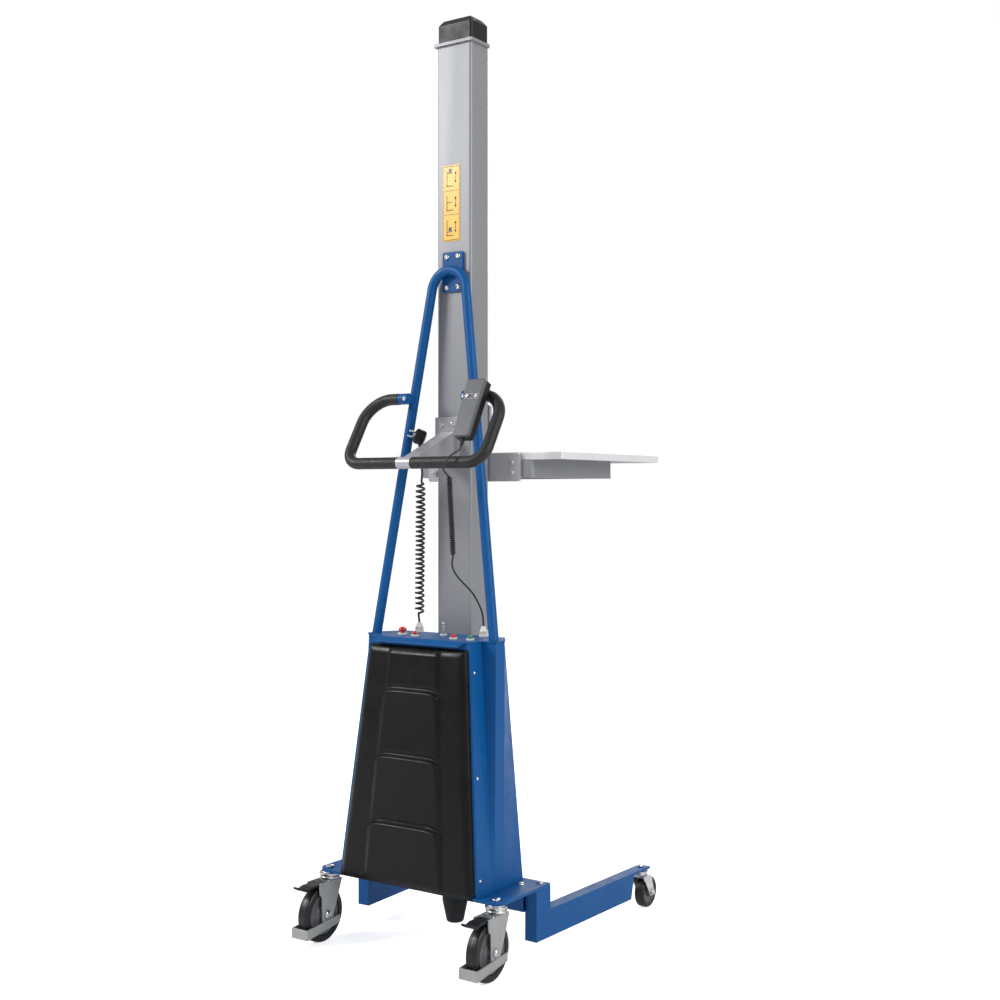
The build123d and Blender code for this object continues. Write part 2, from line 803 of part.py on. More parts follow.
holder_left = grip_end_x + 1
holder_width = 14
holder_wall = 2.5
holder_back_length = 54
holder_back_up = 28
with BuildPart() as handset_holder:
    with BuildSketch(Plane(origin=(holder_left, bar_top_y, bar_top_z), z_dir=(1, 0, 0))):
        Circle(grip_radius + holder_wall)
    extrude(amount=holder_width)
    with BuildSketch(handset_plane(handset_thick)):
        with Locations((holder_left + holder_width / 2 - handset_x, holder_back_up)):
            RectangleRounded(holder_width, holder_back_length, holder_wall)
    extrude(amount=-holder_wall - 0.5)
    with BuildSketch(Plane(origin=(holder_left, bar_top_y, bar_top_z), z_dir=(1, 0, 0))):
        Circle(grip_radius + shaft_gap)
    extrude(amount=holder_width, mode=Mode.SUBTRACT)
keep(handset_holder, "handset_holder")

# ---------------------------------------------------------------- top panel controls
bezel_height = 4
stop_travel = 4
stop_radius = 9
stop_height = 13
stop_round = 6
stop_stem = 5
stem_depth = 14
with BuildPart() as stop_button:
    with BuildSketch(Plane.XY.offset(panel_top + bezel_height + stop_travel + fit_gap)):
        with Locations(stop_spot):
            Circle(stop_radius)
    extrude(amount=stop_height)
    fillet(stop_button.edges().group_by(Axis.Z)[-1], radius=stop_round)
    with BuildSketch(Plane.XY.offset(housing_top - stem_depth)):
        with Locations(stop_spot):
            Circle(stop_stem)
    extrude(amount=stem_depth + panel_thick + bezel_height + stop_travel + fit_gap)
keep(stop_button, "stop_button")

lamp_radius = 6
lamp_base = 9
lamp_height = 12
lamp_round = 4
nut_size = 9
with BuildPart() as panel_bezels:
    with BuildSketch(Plane.XY.offset(panel_top)):
        with Locations(stop_spot):
            Circle(stop_radius + 2)
            Circle(panel_hole, mode=Mode.SUBTRACT)
        with Locations(*lamp_spots):
            Circle(lamp_base)
            Circle(lamp_radius, mode=Mode.SUBTRACT)
        with Locations(toggle_spot):
            RegularPolygon(nut_size, 6)
            Circle(panel_hole, mode=Mode.SUBTRACT)
    extrude(amount=bezel_height)
keep(panel_bezels, "panel_bezels")

with BuildPart() as lamp_lenses:
    with BuildSketch(Plane.XY.offset(panel_top)):
        with Locations(*lamp_spots):
            Circle(lamp_radius)
    extrude(amount=lamp_height)
    fillet(lamp_lenses.edges().group_by(Axis.Z)[-1], radius=lamp_round)
keep(lamp_lenses, "lamp_lenses")

toggle_pivot = panel_top - panel_thick
toggle_length = 30
toggle_radius = 2.5
toggle_ball = 3.5
with BuildPart() as toggle_switch:
    with BuildSketch(Plane.XY.offset(toggle_pivot)):
        with Locations(toggle_spot):
            Circle(toggle_radius)
    extrude(amount=toggle_length)
    for z in (toggle_pivot, toggle_pivot + toggle_length):
        with Locations((toggle_spot[0], toggle_spot[1], z)):
            Sphere(toggle_ball)
keep(toggle_switch, "toggle_switch")

gland_height = 23
gland_base = 10
gland_nut = 6
gland_taper = 9
with BuildPart() as cord_glands:
    for spot in gland_spots:
        with BuildSketch(Plane.XY.offset(panel_top)):
            with Locations(spot):
                RegularPolygon(gland_base, 6)
        extrude(amount=gland_nut)
        with BuildSketch(Plane.XY.offset(panel_top + gland_nut)):
            with Locations(spot):
                Circle(gland_base - 2)
        extrude(amount=gland_height - gland_nut, taper=gland_taper)
keep(cord_glands, "cord_glands")
gland_top = panel_top + gland_height

# ---------------------------------------------------------------- cords
charger_cord = 5
charger_coil_radius = 11.5
handset_coil_radius = 6.5
bend_share = 0.45


def cord_radii(points):
    """The largest arc at each corner that its two runs allow."""
    radii = []
    for before, corner, after in zip(points, points[1:], points[2:]):
        coming = Vector(corner) - Vector(before)
        going = Vector(after) - Vector(corner)
        half_turn = radians(coming.get_angle(going)) / 2
        radii.append(bend_share * min(coming.length, going.length) / tan(half_turn))
    return radii


def cord_tube(points, diameter, label):
    """A cord's tube along straight runs joined by arcs."""
    radii = cord_radii(points)
    with BuildPart() as cord:
        with BuildLine() as route:
            if radii:
                FilletPolyline(*points, radius=radii)
            else:
                Line(*points)
        with BuildSketch(Plane(origin=points[0], z_dir=Vector(points[1]) - Vector(points[0]))):
            Circle(diameter / 2)
        sweep()
    length = route.wire().length
    print(label, "length", round(length, 1), "radii", [round(radius, 1) for radius in radii])
    print(label, "volume share", round(cord.part.volume / (length * pi * diameter**2 / 4), 4))
    keep(cord, label)


def coil_tube(top, bottom, radius, label):
    """The outer shape of a curly stretch."""
    run = Vector(bottom) - Vector(top)
    with BuildPart() as coil:
        with BuildSketch(Plane(origin=top, z_dir=run)):
            Circle(radius)
        extrude(amount=run.length)
    keep(coil, label)


handset_gland = (gland_spots[1][0], gland_spots[1][1], gland_top)
charger_gland = (gland_spots[0][0], gland_spots[0][1], gland_top)
handset_coil_top = (97, behind(150), 1040)
handset_coil_bottom = (100, behind(140), 870)
lead_drop = relief_tip - face_up * 14
cord_tube(
    [
        tuple(relief_tip),
        tuple(lead_drop),
        (124, behind(172), 1088),
        (116, behind(181), 1076),
        (107, behind(182), 1063),
        (100, behind(176), 1053),
        (97, behind(164), 1047),
        handset_coil_top,
    ],
    handset_cord,
    "handset_lead",
)
coil_tube(handset_coil_top, handset_coil_bottom, handset_coil_radius, "handset_coil")
cord_tube(
    [
        handset_coil_bottom,
        (97, behind(141), 854),
        (95, behind(133), 838),
        (97, behind(115), 819),
        (99, behind(92), 803),
        (100, behind(68), 786),
        (98, behind(46), 766),
        (95, behind(26), 744),
        (92, behind(15), 725),
        handset_gland,
    ],
    handset_cord,
    "handset_tail",
)

plug_spot = Vector(-58, behind(51), 1130)
plug_run = Vector(-0.8, -0.45, 0.35).normalized()
plug_radius = 18
plug_length = 24
plug_round = 4
plug_neck = 25
neck_radius = 3.5
neck_length = 12
neck_taper = 8
pin_radius = 2.2
pin_length = 18
pin_spread = 6
with BuildPart() as charger_plug:
    with BuildSketch(Plane(origin=plug_spot - plug_run * (plug_length / 2), z_dir=plug_run)):
        Circle(plug_radius)
    extrude(amount=plug_length)
    fillet(charger_plug.edges().filter_by(GeomType.CIRCLE), radius=plug_round)
    with BuildSketch(Plane(origin=plug_spot - Vector(0, 0, plug_neck), z_dir=(0, 0, 1))):
        Circle(neck_radius)
    extrude(amount=neck_length, taper=-neck_taper)
    with BuildSketch(Plane(origin=plug_spot + plug_run * (plug_length / 2 - 1), z_dir=plug_run)):
        with Locations((-pin_spread, 0), (pin_spread, 0)):
            Circle(pin_radius)
    extrude(amount=pin_length)
keep(charger_plug, "charger_plug")

charger_coil_top = (-64, behind(40), 1030)
charger_coil_bottom = (-85.7, behind(16.4), 726)
cord_tube(
    [
        tuple(plug_spot - Vector(0, 0, plug_neck)),
        (-58, behind(50.5), 1086),
        (-56, behind(48), 1066),
        (-57, behind(43), 1048),
        charger_coil_top,
    ],
    charger_cord,
    "charger_lead",
)
coil_tube(charger_coil_top, charger_coil_bottom, charger_coil_radius, "charger_coil")
cord_tube([charger_coil_bottom, charger_gland], charger_cord, "charger_tail")

# ---------------------------------------------------------------- load side
support_top = platform_top - platform_sheet
support_low = support_top - support_height
support_wall = 3
support_round = 12
cross_half = 38
cross_thick = 8
cross_gap = 8.5          # between the mast's front wall and the bar that carries the glides
cross_back = mast_front - mast_wall - cross_thick - cross_gap
finger_width = 4.5
finger_height = 20
plate_round = 5
finger_out = belt_inner + belt_thick + 0.5
carriage_bolt_x = 108
carriage_bolt_z = 12
bolt_row_z = support_low + 22
with BuildPart() as carriage_plate:
    with BuildSketch(facing_back(0, carriage_front, 0)):
        with Locations((0, (carriage_low + support_top) / 2)):
            RectangleRounded(2 * carriage_half, support_top - carriage_low, plate_round)
        with Locations((0, (carriage_high + carriage_low) / 2)):
            RectangleRounded(mast_width, carriage_high - carriage_low, plate_round)
        with Locations((0, bolt_row_z)):
            with GridLocations(2 * carriage_bolt_x, 2 * carriage_bolt_z, 2, 2):
                Circle(bolt_radius, mode=Mode.SUBTRACT)
    extrude(amount=carriage_thick)
    with BuildSketch(facing_back(0, carriage_back, (glide_low + glide_high) / 2)):
        Rectangle(carriage_neck, glide_high - glide_low)
    extrude(amount=carriage_back - cross_back)
    with BuildSketch(facing_back(0, cross_back + cross_thick, (glide_low + glide_high) / 2)):
        Rectangle(2 * cross_half, glide_high - glide_low)
    extrude(amount=cross_thick)
    with BuildSketch(facing_back(finger_out + finger_width / 2, cross_back, (glide_low + glide_high) / 2)):
        Rectangle(finger_width, finger_height)
    extrude(amount=cross_back - (pulley_y - belt_width / 2))
keep(carriage_plate, "carriage_plate")

glide_gap = 0.5
glide_inner = 33.5
glide_outer = mast_width / 2 - mast_wall - glide_gap
glide_back = mast_back + mast_wall + glide_gap
with BuildPart() as carriage_glides:
    for side in (-1, 1):
        for low in (glide_low, glide_high - glide_block):
            with BuildSketch(Plane.XY.offset(low)):
                with Locations((side * (glide_inner + glide_outer) / 2, (glide_back + cross_back) / 2)):
                    RectangleRounded(glide_outer - glide_inner, cross_back - glide_back, 3)
            extrude(amount=glide_block)
keep(carriage_glides, "carriage_glides")

support_middle = carriage_front + support_length / 2
tray_back = mast_back + platform_gap
with BuildPart() as platform_frame:
    with BuildSketch(Plane.XY.offset(support_low)):
        with Locations((0, support_middle)):
            RectangleRounded(2 * support_half, support_length, support_round)
            Rectangle(
                2 * (support_half - support_tube), support_length - 2 * support_tube, mode=Mode.SUBTRACT
            )
    extrude(amount=support_height)
    with BuildSketch(Plane.XY.offset(support_low + support_wall)):
        with Locations((0, support_middle)):
            RectangleRounded(
                2 * (support_half - support_wall),
                support_length - 2 * support_wall,
                support_round - support_wall,
            )
            Rectangle(
                2 * (support_half - support_tube + support_wall),
                support_length - 2 * (support_tube - support_wall),
                mode=Mode.SUBTRACT,
            )
    extrude(amount=support_height - 2 * support_wall, mode=Mode.SUBTRACT)
    with BuildSketch(facing_back(0, tray_back + platform_sheet + fit_gap, support_top)):
        Rectangle(2 * support_half, 2 * (platform_rim - platform_sheet + fit_gap))
    extrude(amount=2 * platform_gap, mode=Mode.SUBTRACT)
    with BuildSketch(facing_back(0, carriage_front + support_wall + 1, bolt_row_z)):
        with GridLocations(2 * carriage_bolt_x, 2 * carriage_bolt_z, 2, 2):
            Circle(bolt_radius)
    extrude(amount=support_wall + 2, mode=Mode.SUBTRACT)
keep(platform_frame, "platform_frame")

tray_middle = tray_back + platform_length / 2
tray_corner = 6
tray_edge = 2
with BuildPart() as platform_tray:
    with BuildSketch(Plane.XY.offset(platform_top - platform_rim)):
        with Locations((0, tray_middle)):
            RectangleRounded(2 * platform_half, platform_length, tray_corner)
    extrude(amount=platform_rim)
    fillet(platform_tray.edges().group_by(Axis.Z)[-1], radius=tray_edge)
    with BuildSketch(Plane.XY.offset(platform_top - platform_rim)):
        with Locations((0, tray_middle)):
            RectangleRounded(
                2 * (platform_half - platform_sheet),
                platform_length - 2 * platform_sheet,
                tray_corner - platform_sheet,
            )
    extrude(amount=platform_rim - platform_sheet, mode=Mode.SUBTRACT)
keep(platform_tray, "platform_tray")

screw_clearance = 0.05
cap_screw_radius = 7
cap_screw_height = 5
with BuildPart() as carriage_bolts:
    with BuildSketch(facing_back(0, carriage_back, bolt_row_z)):
        with GridLocations(2 * carriage_bolt_x, 2 * carriage_bolt_z, 2, 2):
            Circle(cap_screw_radius)
    extrude(amount=cap_screw_height)
    with BuildSketch(facing_back(0, carriage_front + support_wall, bolt_row_z)):
        with GridLocations(2 * carriage_bolt_x, 2 * carriage_bolt_z, 2, 2):
            Circle(bolt_radius - screw_clearance)
    extrude(amount=carriage_thick + support_wall)
keep(carriage_bolts, "carriage_bolts")

# ---------------------------------------------------------------- screws of the base
plate_screw_radius = 8
plate_screw_height = 5
frame_screw_radius = 7
frame_screw_height = 4
plate_screw_taper = 25
frame_screw_taper = 35
arm_screw_x = 15
arm_screw_drop = 17
with BuildPart() as frame_screws:
    for side in (-1, 1):
        with BuildSketch(Plane.XY.offset(plate_top)):
            with Locations((side * upright_bolt_x, upright_bolt_y), (side * beam_bolt_x, beam_bolt_y)):
                Circle(plate_screw_radius)
        extrude(amount=plate_screw_height, taper=plate_screw_taper)
    with BuildSketch(facing_back(0, mast_back - frame_plate_thick, frame_plate_z)):
        with GridLocations(2 * plate_hole_x, 2 * plate_hole_z, 2, 2):
            Circle(frame_screw_radius)
    extrude(amount=frame_screw_height, taper=frame_screw_taper)
    with BuildSketch(facing_back(arm_x, mast_back - arm_sheet, arm_plate_top - arm_screw_drop)):
        with Locations((-arm_screw_x, 0), (arm_screw_x, 0)):
            Circle(frame_screw_radius)
    extrude(amount=frame_screw_height, taper=frame_screw_taper)
keep(frame_screws, "frame_screws")

# ---------------------------------------------------------------- castors
rear_cup_height = 17
front_cup_height = 12
rear_cup_radius = 24
front_cup_radius = 18
crown_thick = 4
fork_gap = 3
nut_height = 5
rear_nut = 10
front_nut = 8
tab_top = leg_top
nose_centre = leg_outer - leg_width / 2 * cos(radians(leg_splay))
front_x = nose_centre + front_axis_along * sin(radians(leg_splay))
nose_shift = leg_width / 2 * sin(radians(leg_splay))
front_y = behind(leg_back) + front_axis_along * cos(radians(leg_splay)) + nose_shift
castors = [
    ("rear_left", -rear_axis_x, rear_axis_y, -rear_trail, rear_wheel, rear_tread, plate_bottom),
    ("rear_right", rear_axis_x, rear_axis_y, -rear_trail, rear_wheel, rear_tread, plate_bottom),
    ("front_left", -front_x, front_y, front_trail, front_wheel, front_tread, tab_top - nose_thick),
    ("front_right", front_x, front_y, front_trail, front_wheel, front_tread, tab_top - nose_thick),
]
with BuildPart() as caster_heads:
    for name, x, y, trail, wheel, tread, ceiling in castors:
        rear = name.startswith("rear")
        cup_height = rear_cup_height if rear else front_cup_height
        with BuildSketch(Plane.XY.offset(ceiling - cup_height)):
            with Locations((x, y)):
                Circle(rear_cup_radius if rear else front_cup_radius)
        extrude(amount=cup_height)
        with BuildSketch(Plane.XY.offset(ceiling - cup_height - crown_thick - fit_gap)):
            with Locations((x, y)):
                Circle((stud_radius if rear else bolt_radius) - shaft_gap)
        extrude(amount=cup_height + crown_thick + fit_gap + nose_thick)
        with BuildSketch(Plane.XY.offset(ceiling + nose_thick)):
            with Locations((x, y)):
                RegularPolygon(rear_nut if rear else front_nut, 6)
        extrude(amount=nut_height)
keep(caster_heads, "caster_heads")

pedal_pivot_back = 45    # behind the swivel axis
pedal_pivot_z = 129
pedal_half = 15
pedal_pin = 3
brake_lip = 10           # the fork's skirt beyond the pedal's pivot
skirt_back_z = 110
skirt_front_z = 103
leg_half = 14            # half width of a rear fork's leg
rear_foot_z = 37
rear_reach = 18
front_reach = 14
front_boss = 8
front_brow = 20
guard_thick = 3
guard_front = 40         # ahead of the axle
guard_front_low = 36
guard_front_high = 54
guard_back = 68.5        # behind the axle
guard_low = 21
guard_high = 43
axle_proud = 2
hub_radius = 10
tyre_round = 0.22        # of the tread's width
dish_outer = 0.68        # of the wheel's radius
dish_inner = 0.27
dish_depth = 0.25        # of the tread's width


def rear_cheek(y, axle_y, crown_low, crown_top):
    """Side view of a rear fork's cheek: a broad leg under a skirt that reaches back to the pedal."""
    pivot_y = y - pedal_pivot_back
    return [
        (y + rear_reach, crown_low),
        (y + rear_reach, crown_top),
        (pivot_y - brake_lip, crown_top),
        (pivot_y - brake_lip, skirt_back_z),
        (axle_y - leg_half - 2, skirt_front_z),
        (axle_y - leg_half, rear_foot_z),
        (axle_y + leg_half, rear_foot_z),
    ]


def front_cheek(y, axle_y, crown_low, crown_top, wheel):
    """Side view of a front fork's cheek: a leg that narrows to the axle."""
    foot_z = wheel - front_boss
    return [
        (y - front_reach, crown_low),
        (y - front_reach, crown_top),
        (y + front_brow, crown_top),
        (y + front_brow + 2, crown_low),
        (axle_y + front_boss, wheel + crown_thick),
        (axle_y + front_boss, foot_z),
        (axle_y - front_boss, foot_z),
    ]


for name, x, y, trail, wheel, tread, ceiling in castors:
    rear = name.startswith("rear")
    way = 1 if trail > 0 else -1
    inner = tread / 2 + fork_gap
    crown_top = ceiling - (rear_cup_height if rear else front_cup_height) - fit_gap
    crown_low = crown_top - crown_thick
    axle_y = y + trail
    pivot_y = y - pedal_pivot_back
    pin = stud_radius if rear else bolt_radius
    reach = rear_reach if rear else front_reach
    if rear:
        cheek = rear_cheek(y, axle_y, crown_low, crown_top)
    else:
        cheek = front_cheek(y, axle_y, crown_low, crown_top, wheel)
    with BuildPart() as fork:
        for side in (-1, 1):
            with BuildSketch(facing_right(x + side * inner, 0, 0)):
                with BuildLine():
                    Polyline(*cheek, close=True)
                make_face()
            extrude(amount=side * fork_sheet)
        with BuildSketch(Plane.XY.offset(crown_low)):
            with Locations((x, y + way)):
                Rectangle(2 * (inner + fork_sheet), 2 * (reach + 1))
            with Locations((x, y)):
                Circle(pin + shaft_gap, mode=Mode.SUBTRACT)
        extrude(amount=crown_thick)
        with BuildSketch(facing_right(x - inner - fork_sheet - axle_proud, axle_y, wheel)):
            Circle(axle_radius)
        extrude(amount=2 * (inner + fork_sheet + axle_proud))
        if rear:
            with BuildSketch(facing_right(x - inner - 1, pivot_y, pedal_pivot_z)):
                Circle(pedal_pin)
            extrude(amount=2 * (inner + 1))
            guard_out = inner + fork_sheet + guard_thick
            for side in (-1, 1):
                with BuildSketch(facing_right(x + side * (inner + fork_sheet), axle_y, 0)):
                    with BuildLine():
                        Polyline(
                            (guard_front, guard_front_high),
                            (guard_front, guard_front_low),
                            (-guard_back, guard_low),
                            (-guard_back, guard_high),
                            close=True,
                        )
                    make_face()
                extrude(amount=side * guard_thick)
            with BuildSketch(Plane.XY.offset(guard_low)):
                with Locations((x, axle_y - guard_back + guard_thick / 2)):
                    Rectangle(2 * guard_out, guard_thick)
            extrude(amount=guard_high - guard_low)
    keep(fork, f"{name}_fork")

    with BuildPart() as roller:
        with BuildSketch(facing_right(x - tread / 2, axle_y, wheel)):
            Circle(wheel)
        extrude(amount=tread)
        fillet(roller.edges().filter_by(GeomType.CIRCLE), radius=tread * tyre_round)
        for side in (-1, 1):
            with BuildSketch(facing_right(x + side * tread / 2, axle_y, wheel)):
                Circle(wheel * dish_outer)
                Circle(wheel * dish_inner, mode=Mode.SUBTRACT)
            extrude(amount=-side * tread * dish_depth, mode=Mode.SUBTRACT)
        with BuildSketch(facing_right(x - inner + fit_gap, axle_y, wheel)):
            Circle(hub_radius)
        extrude(amount=2 * (inner - fit_gap))
        with BuildSketch(facing_right(x - inner, axle_y, wheel)):
            Circle(axle_radius + shaft_gap)
        extrude(amount=2 * inner, mode=Mode.SUBTRACT)
    keep(roller, f"{name}_wheel")

    if rear:
        tip = pedal_reach - pedal_pivot_back
        profile = [
            (7, -3),
            (7, 4),
            (-30, 4),
            (14 - tip, 0),
            (-tip, 7),
            (-tip, 2),
            (13 - tip, -5),
            (-30, -1),
            (-12, -1),
            (-5, -4),
        ]
        with BuildPart() as pedal:
            with BuildSketch(facing_right(x - pedal_half, pivot_y, pedal_pivot_z)):
                with BuildLine():
                    Polyline(*profile, close=True)
                make_face()
                Circle(pedal_pin + shaft_gap, mode=Mode.SUBTRACT)
            extrude(amount=2 * pedal_half)
        keep(pedal, f"{name}_pedal")
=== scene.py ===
import bmesh
import bpy
import json
from math import cos, hypot, pi, radians, sin, sqrt
from mathutils import Matrix, Vector


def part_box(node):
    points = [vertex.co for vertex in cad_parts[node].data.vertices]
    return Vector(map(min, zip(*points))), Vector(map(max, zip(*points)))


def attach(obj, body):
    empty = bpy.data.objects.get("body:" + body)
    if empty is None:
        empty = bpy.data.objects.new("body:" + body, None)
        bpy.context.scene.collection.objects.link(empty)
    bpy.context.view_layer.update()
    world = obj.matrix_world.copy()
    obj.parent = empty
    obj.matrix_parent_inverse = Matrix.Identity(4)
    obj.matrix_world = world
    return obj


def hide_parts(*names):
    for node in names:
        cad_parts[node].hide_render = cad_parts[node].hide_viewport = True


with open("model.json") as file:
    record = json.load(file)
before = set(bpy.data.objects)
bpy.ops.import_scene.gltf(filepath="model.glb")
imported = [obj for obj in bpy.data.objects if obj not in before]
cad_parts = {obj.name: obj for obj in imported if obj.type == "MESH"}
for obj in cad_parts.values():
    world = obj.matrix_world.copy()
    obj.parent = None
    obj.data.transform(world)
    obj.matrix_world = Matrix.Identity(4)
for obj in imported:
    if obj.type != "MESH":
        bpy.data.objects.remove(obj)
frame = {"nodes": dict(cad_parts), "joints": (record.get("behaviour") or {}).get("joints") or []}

bl_info = {
    "name": "Work positioner",
    "version": (1, 0, 0),
    "blender": (4, 5, 0),
    "location": "View3D > Sidebar > Lift",
    "description": "Finishes and soft parts of a wheeled battery lift, built round its fixed frame",
    "category": "Object",
}

MM = 0.001
MAST_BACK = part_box("mast_tube")[0][1]
PANEL_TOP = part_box("panel_bezels")[0][2]
CASTORS = ("rear_left", "rear_right", "front_left", "front_right")

# The housing narrows and leans forwards from its foot to its shoulder. All of these are millimetres.
FOOT, SHOULDER = 158, 682
HALF_FOOT, HALF_SHOULDER = 187.7, 138.6
BACK_FOOT, BACK_SHOULDER = -173.6, -129.4
TAPER = (HALF_FOOT - HALF_SHOULDER) / (SHOULDER - FOOT)
LEAN = (BACK_SHOULDER - BACK_FOOT) / (SHOULDER - FOOT)


# ------------------------------------------------------------------ small tools
def place(x, y, z):
    """A point given in millimetres, with y counted forwards from the mast's rear face, in metres."""
    return Vector((x * MM, MAST_BACK + y * MM, z * MM))


def housing_half(z):
    """Half the housing's width at a height."""
    return HALF_FOOT - TAPER * (z - FOOT)


def housing_back(z):
    """Where the housing's rear face is at a height, counted from the mast's rear face."""
    return BACK_FOOT + LEAN * (z - FOOT)


def corners_of(node):
    """The lowest and the highest corner of a part's box."""
    low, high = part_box(node)
    return Vector(low), Vector(high)


def rectangle(half_wide, half_tall):
    """The corners of an upright rectangle round the middle."""
    x, y = half_wide, half_tall
    return [(-x, -y), (x, -y), (x, y), (-x, y)]


def mesh_piece(name, points, faces, smooth=True):
    """A new object at the origin, with its place in its mesh."""
    mesh = bpy.data.meshes.new(name)
    mesh.from_pydata([tuple(p) for p in points], [], faces)
    mesh.validate()
    mesh.polygons.foreach_set("use_smooth", [smooth] * len(mesh.polygons))
    piece = bpy.data.objects.new(name, mesh)
    bpy.context.scene.collection.objects.link(piece)
    return piece


def turn_outwards(piece, merge=True):
    """Merge doubles unless told not to, then point every face outwards."""
    work = bmesh.new()
    work.from_mesh(piece.data)
    if merge:
        bmesh.ops.remove_doubles(work, verts=work.verts, dist=1e-6)
    bmesh.ops.recalc_face_normals(work, faces=work.faces)
    work.to_mesh(piece.data)
    work.free()


def axes_matrix(origin, z_axis, x_hint):
    """The matrix of a place with its Z along z_axis and its X near x_hint."""
    z = Vector(z_axis).normalized()
    x = (Vector(x_hint) - z * Vector(x_hint).dot(z)).normalized()
    y = z.cross(x)
    turned = Matrix((x, y, z)).transposed().to_4x4()
    return Matrix.Translation(origin) @ turned


def lathe(name, profile, where, sides=64, crease=None):
    """Turn a profile of (radius, height) points round the Z of where. Edges over crease stay sharp."""
    points = []
    faces = []
    for radius, height in profile:
        for i in range(sides):
            angle = 2 * pi * i / sides
            points.append(where @ Vector((radius * cos(angle), radius * sin(angle), height)))
    for ring in range(len(profile) - 1):
        for i in range(sides):
            j = (i + 1) % sides
            a, b = ring * sides, (ring + 1) * sides
            faces.append((a + i, a + j, b + j, b + i))
    piece = mesh_piece(name, points, faces)
    turn_outwards(piece)
    if crease:
        piece.data.set_sharp_from_angle(angle=radians(crease))
    return piece


def prism(name, outline, depth, where, bevel=0.0, segments=3):
    """A flat outline given depth along the Z of where, with rounded edges."""
    count = len(outline)
    points = [where @ Vector((x, y, 0)) for x, y in outline]
    points += [where @ Vector((x, y, depth)) for x, y in outline]
    faces = [tuple(reversed(range(count))), tuple(range(count, 2 * count))]
    faces += [(i, (i + 1) % count, count + (i + 1) % count, count + i) for i in range(count)]
    piece = mesh_piece(name, points, faces, smooth=False)
    turn_outwards(piece)
    if bevel:
        soften(piece, bevel, segments)
    return piece


def soften(piece, width, segments=3):
    """Round the sharp edges of a piece and shade it smooth."""
    round_over = piece.modifiers.new("Round over", "BEVEL")
    round_over.width = width
    round_over.segments = segments
    round_over.limit_method = "ANGLE"
    round_over.angle_limit = radians(30)
    round_over.harden_normals = True
    bake_modifiers(piece)


def bake_modifiers(piece):
    """Turn a piece's modifiers into plain mesh and remove them."""
    view = bpy.context.evaluated_depsgraph_get()
    mesh = bpy.data.meshes.new_from_object(piece.evaluated_get(view))
    piece.modifiers.clear()
    piece.data = mesh
    mesh.polygons.foreach_set("use_smooth", [True] * len(mesh.polygons))
    return piece


def rounded_outline(corners, radius, steps=6):
    """A polygon with each corner replaced by an arc."""
    outline = []
    count = len(corners)
    for i, corner in enumerate(corners):
        here = Vector(corner)
        back = (Vector(corners[i - 1]) - here).normalized()
        ahead = (Vector(corners[(i + 1) % count]) - here).normalized()
        half = back.angle(ahead) / 2
        centre = here + (back + ahead).normalized() * (radius / sin(half))
        reach = radius / sin(half) * cos(half)
        start = (here + back * reach) - centre
        stop = (here + ahead * reach) - centre
        sweep = start.angle_signed(stop)
        for step in range(steps + 1):
            turn = -sweep * step / steps
            spun = Matrix.Rotation(turn, 2) @ start
            outline.append(tuple(centre + spun))
    return outline


def dress(piece, body, material):
    """Give a finished piece its material and the body it rides on."""
    piece.data.materials.clear()
    piece.data.materials.append(material)
    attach(piece, body)
    return piece


# ------------------------------------------------------------------ finishes
def shader(name):
    """A new material with its node tree, its shader and its object coordinates."""
    material = bpy.data.materials.new(name)
    material.use_nodes = True
    tree = material.node_tree
    return material, tree, tree.nodes["Principled BSDF"], tree.nodes.new("ShaderNodeTexCoord")


def noise(tree, coordinates, scale, detail=4.0, stretch=(1, 1, 1)):
    """Noise on object coordinates, stretched along an axis for brushed or drawn metal."""
    mapping = tree.nodes.new("ShaderNodeMapping")
    mapping.inputs["Scale"].default_value = stretch
    tree.links.new(coordinates.outputs["Object"], mapping.inputs["Vector"])
    texture = tree.nodes.new("ShaderNodeTexNoise")
    texture.inputs["Scale"].default_value = scale
    texture.inputs["Detail"].default_value = detail
    tree.links.new(mapping.outputs["Vector"], texture.inputs["Vector"])
    return texture.outputs["Fac"]


def spread(tree, source, low, high, start=0.3, end=0.7):
    """Map noise to a range of values."""
    node = tree.nodes.new("ShaderNodeMapRange")
    node.inputs["From Min"].default_value = start
    node.inputs["From Max"].default_value = end
    node.inputs["To Min"].default_value = low
    node.inputs["To Max"].default_value = high
    tree.links.new(source, node.inputs["Value"])
    return node.outputs["Result"]


def blend_colours(tree, share, first, second):
    """Mix two colours by a share; either may be a colour or a socket."""
    node = tree.nodes.new("ShaderNodeMix")
    node.data_type = "RGBA"
    tree.links.new(share, node.inputs[0])
    for socket, value in ((node.inputs[6], first), (node.inputs[7], second)):
        if isinstance(value, bpy.types.NodeSocket):
            tree.links.new(value, socket)
        else:
            socket.default_value = (*value, 1)
    return node.outputs[2]


def painted_edge_highlight(tree, radius):
    """A mask that is 1 on sharp edges, where a painted highlight goes, and the normal that rounds them."""
    bevel = tree.nodes.new("ShaderNodeBevel")
    bevel.inputs["Radius"].default_value = radius
    bevel.samples = 4
    plain = tree.nodes.new("ShaderNodeNewGeometry")
    compare = tree.nodes.new("ShaderNodeVectorMath")
    compare.operation = "DOT_PRODUCT"
    tree.links.new(bevel.outputs["Normal"], compare.inputs[0])
    tree.links.new(plain.outputs["Normal"], compare.inputs[1])
    return spread(tree, compare.outputs["Value"], 1.0, 0.0, 0.8, 0.98), bevel.outputs["Normal"]


DUST_COLOUR = (0.42, 0.4, 0.38)
DUST_SCALE = 160.0
EDGE_RADIUS = 0.0012


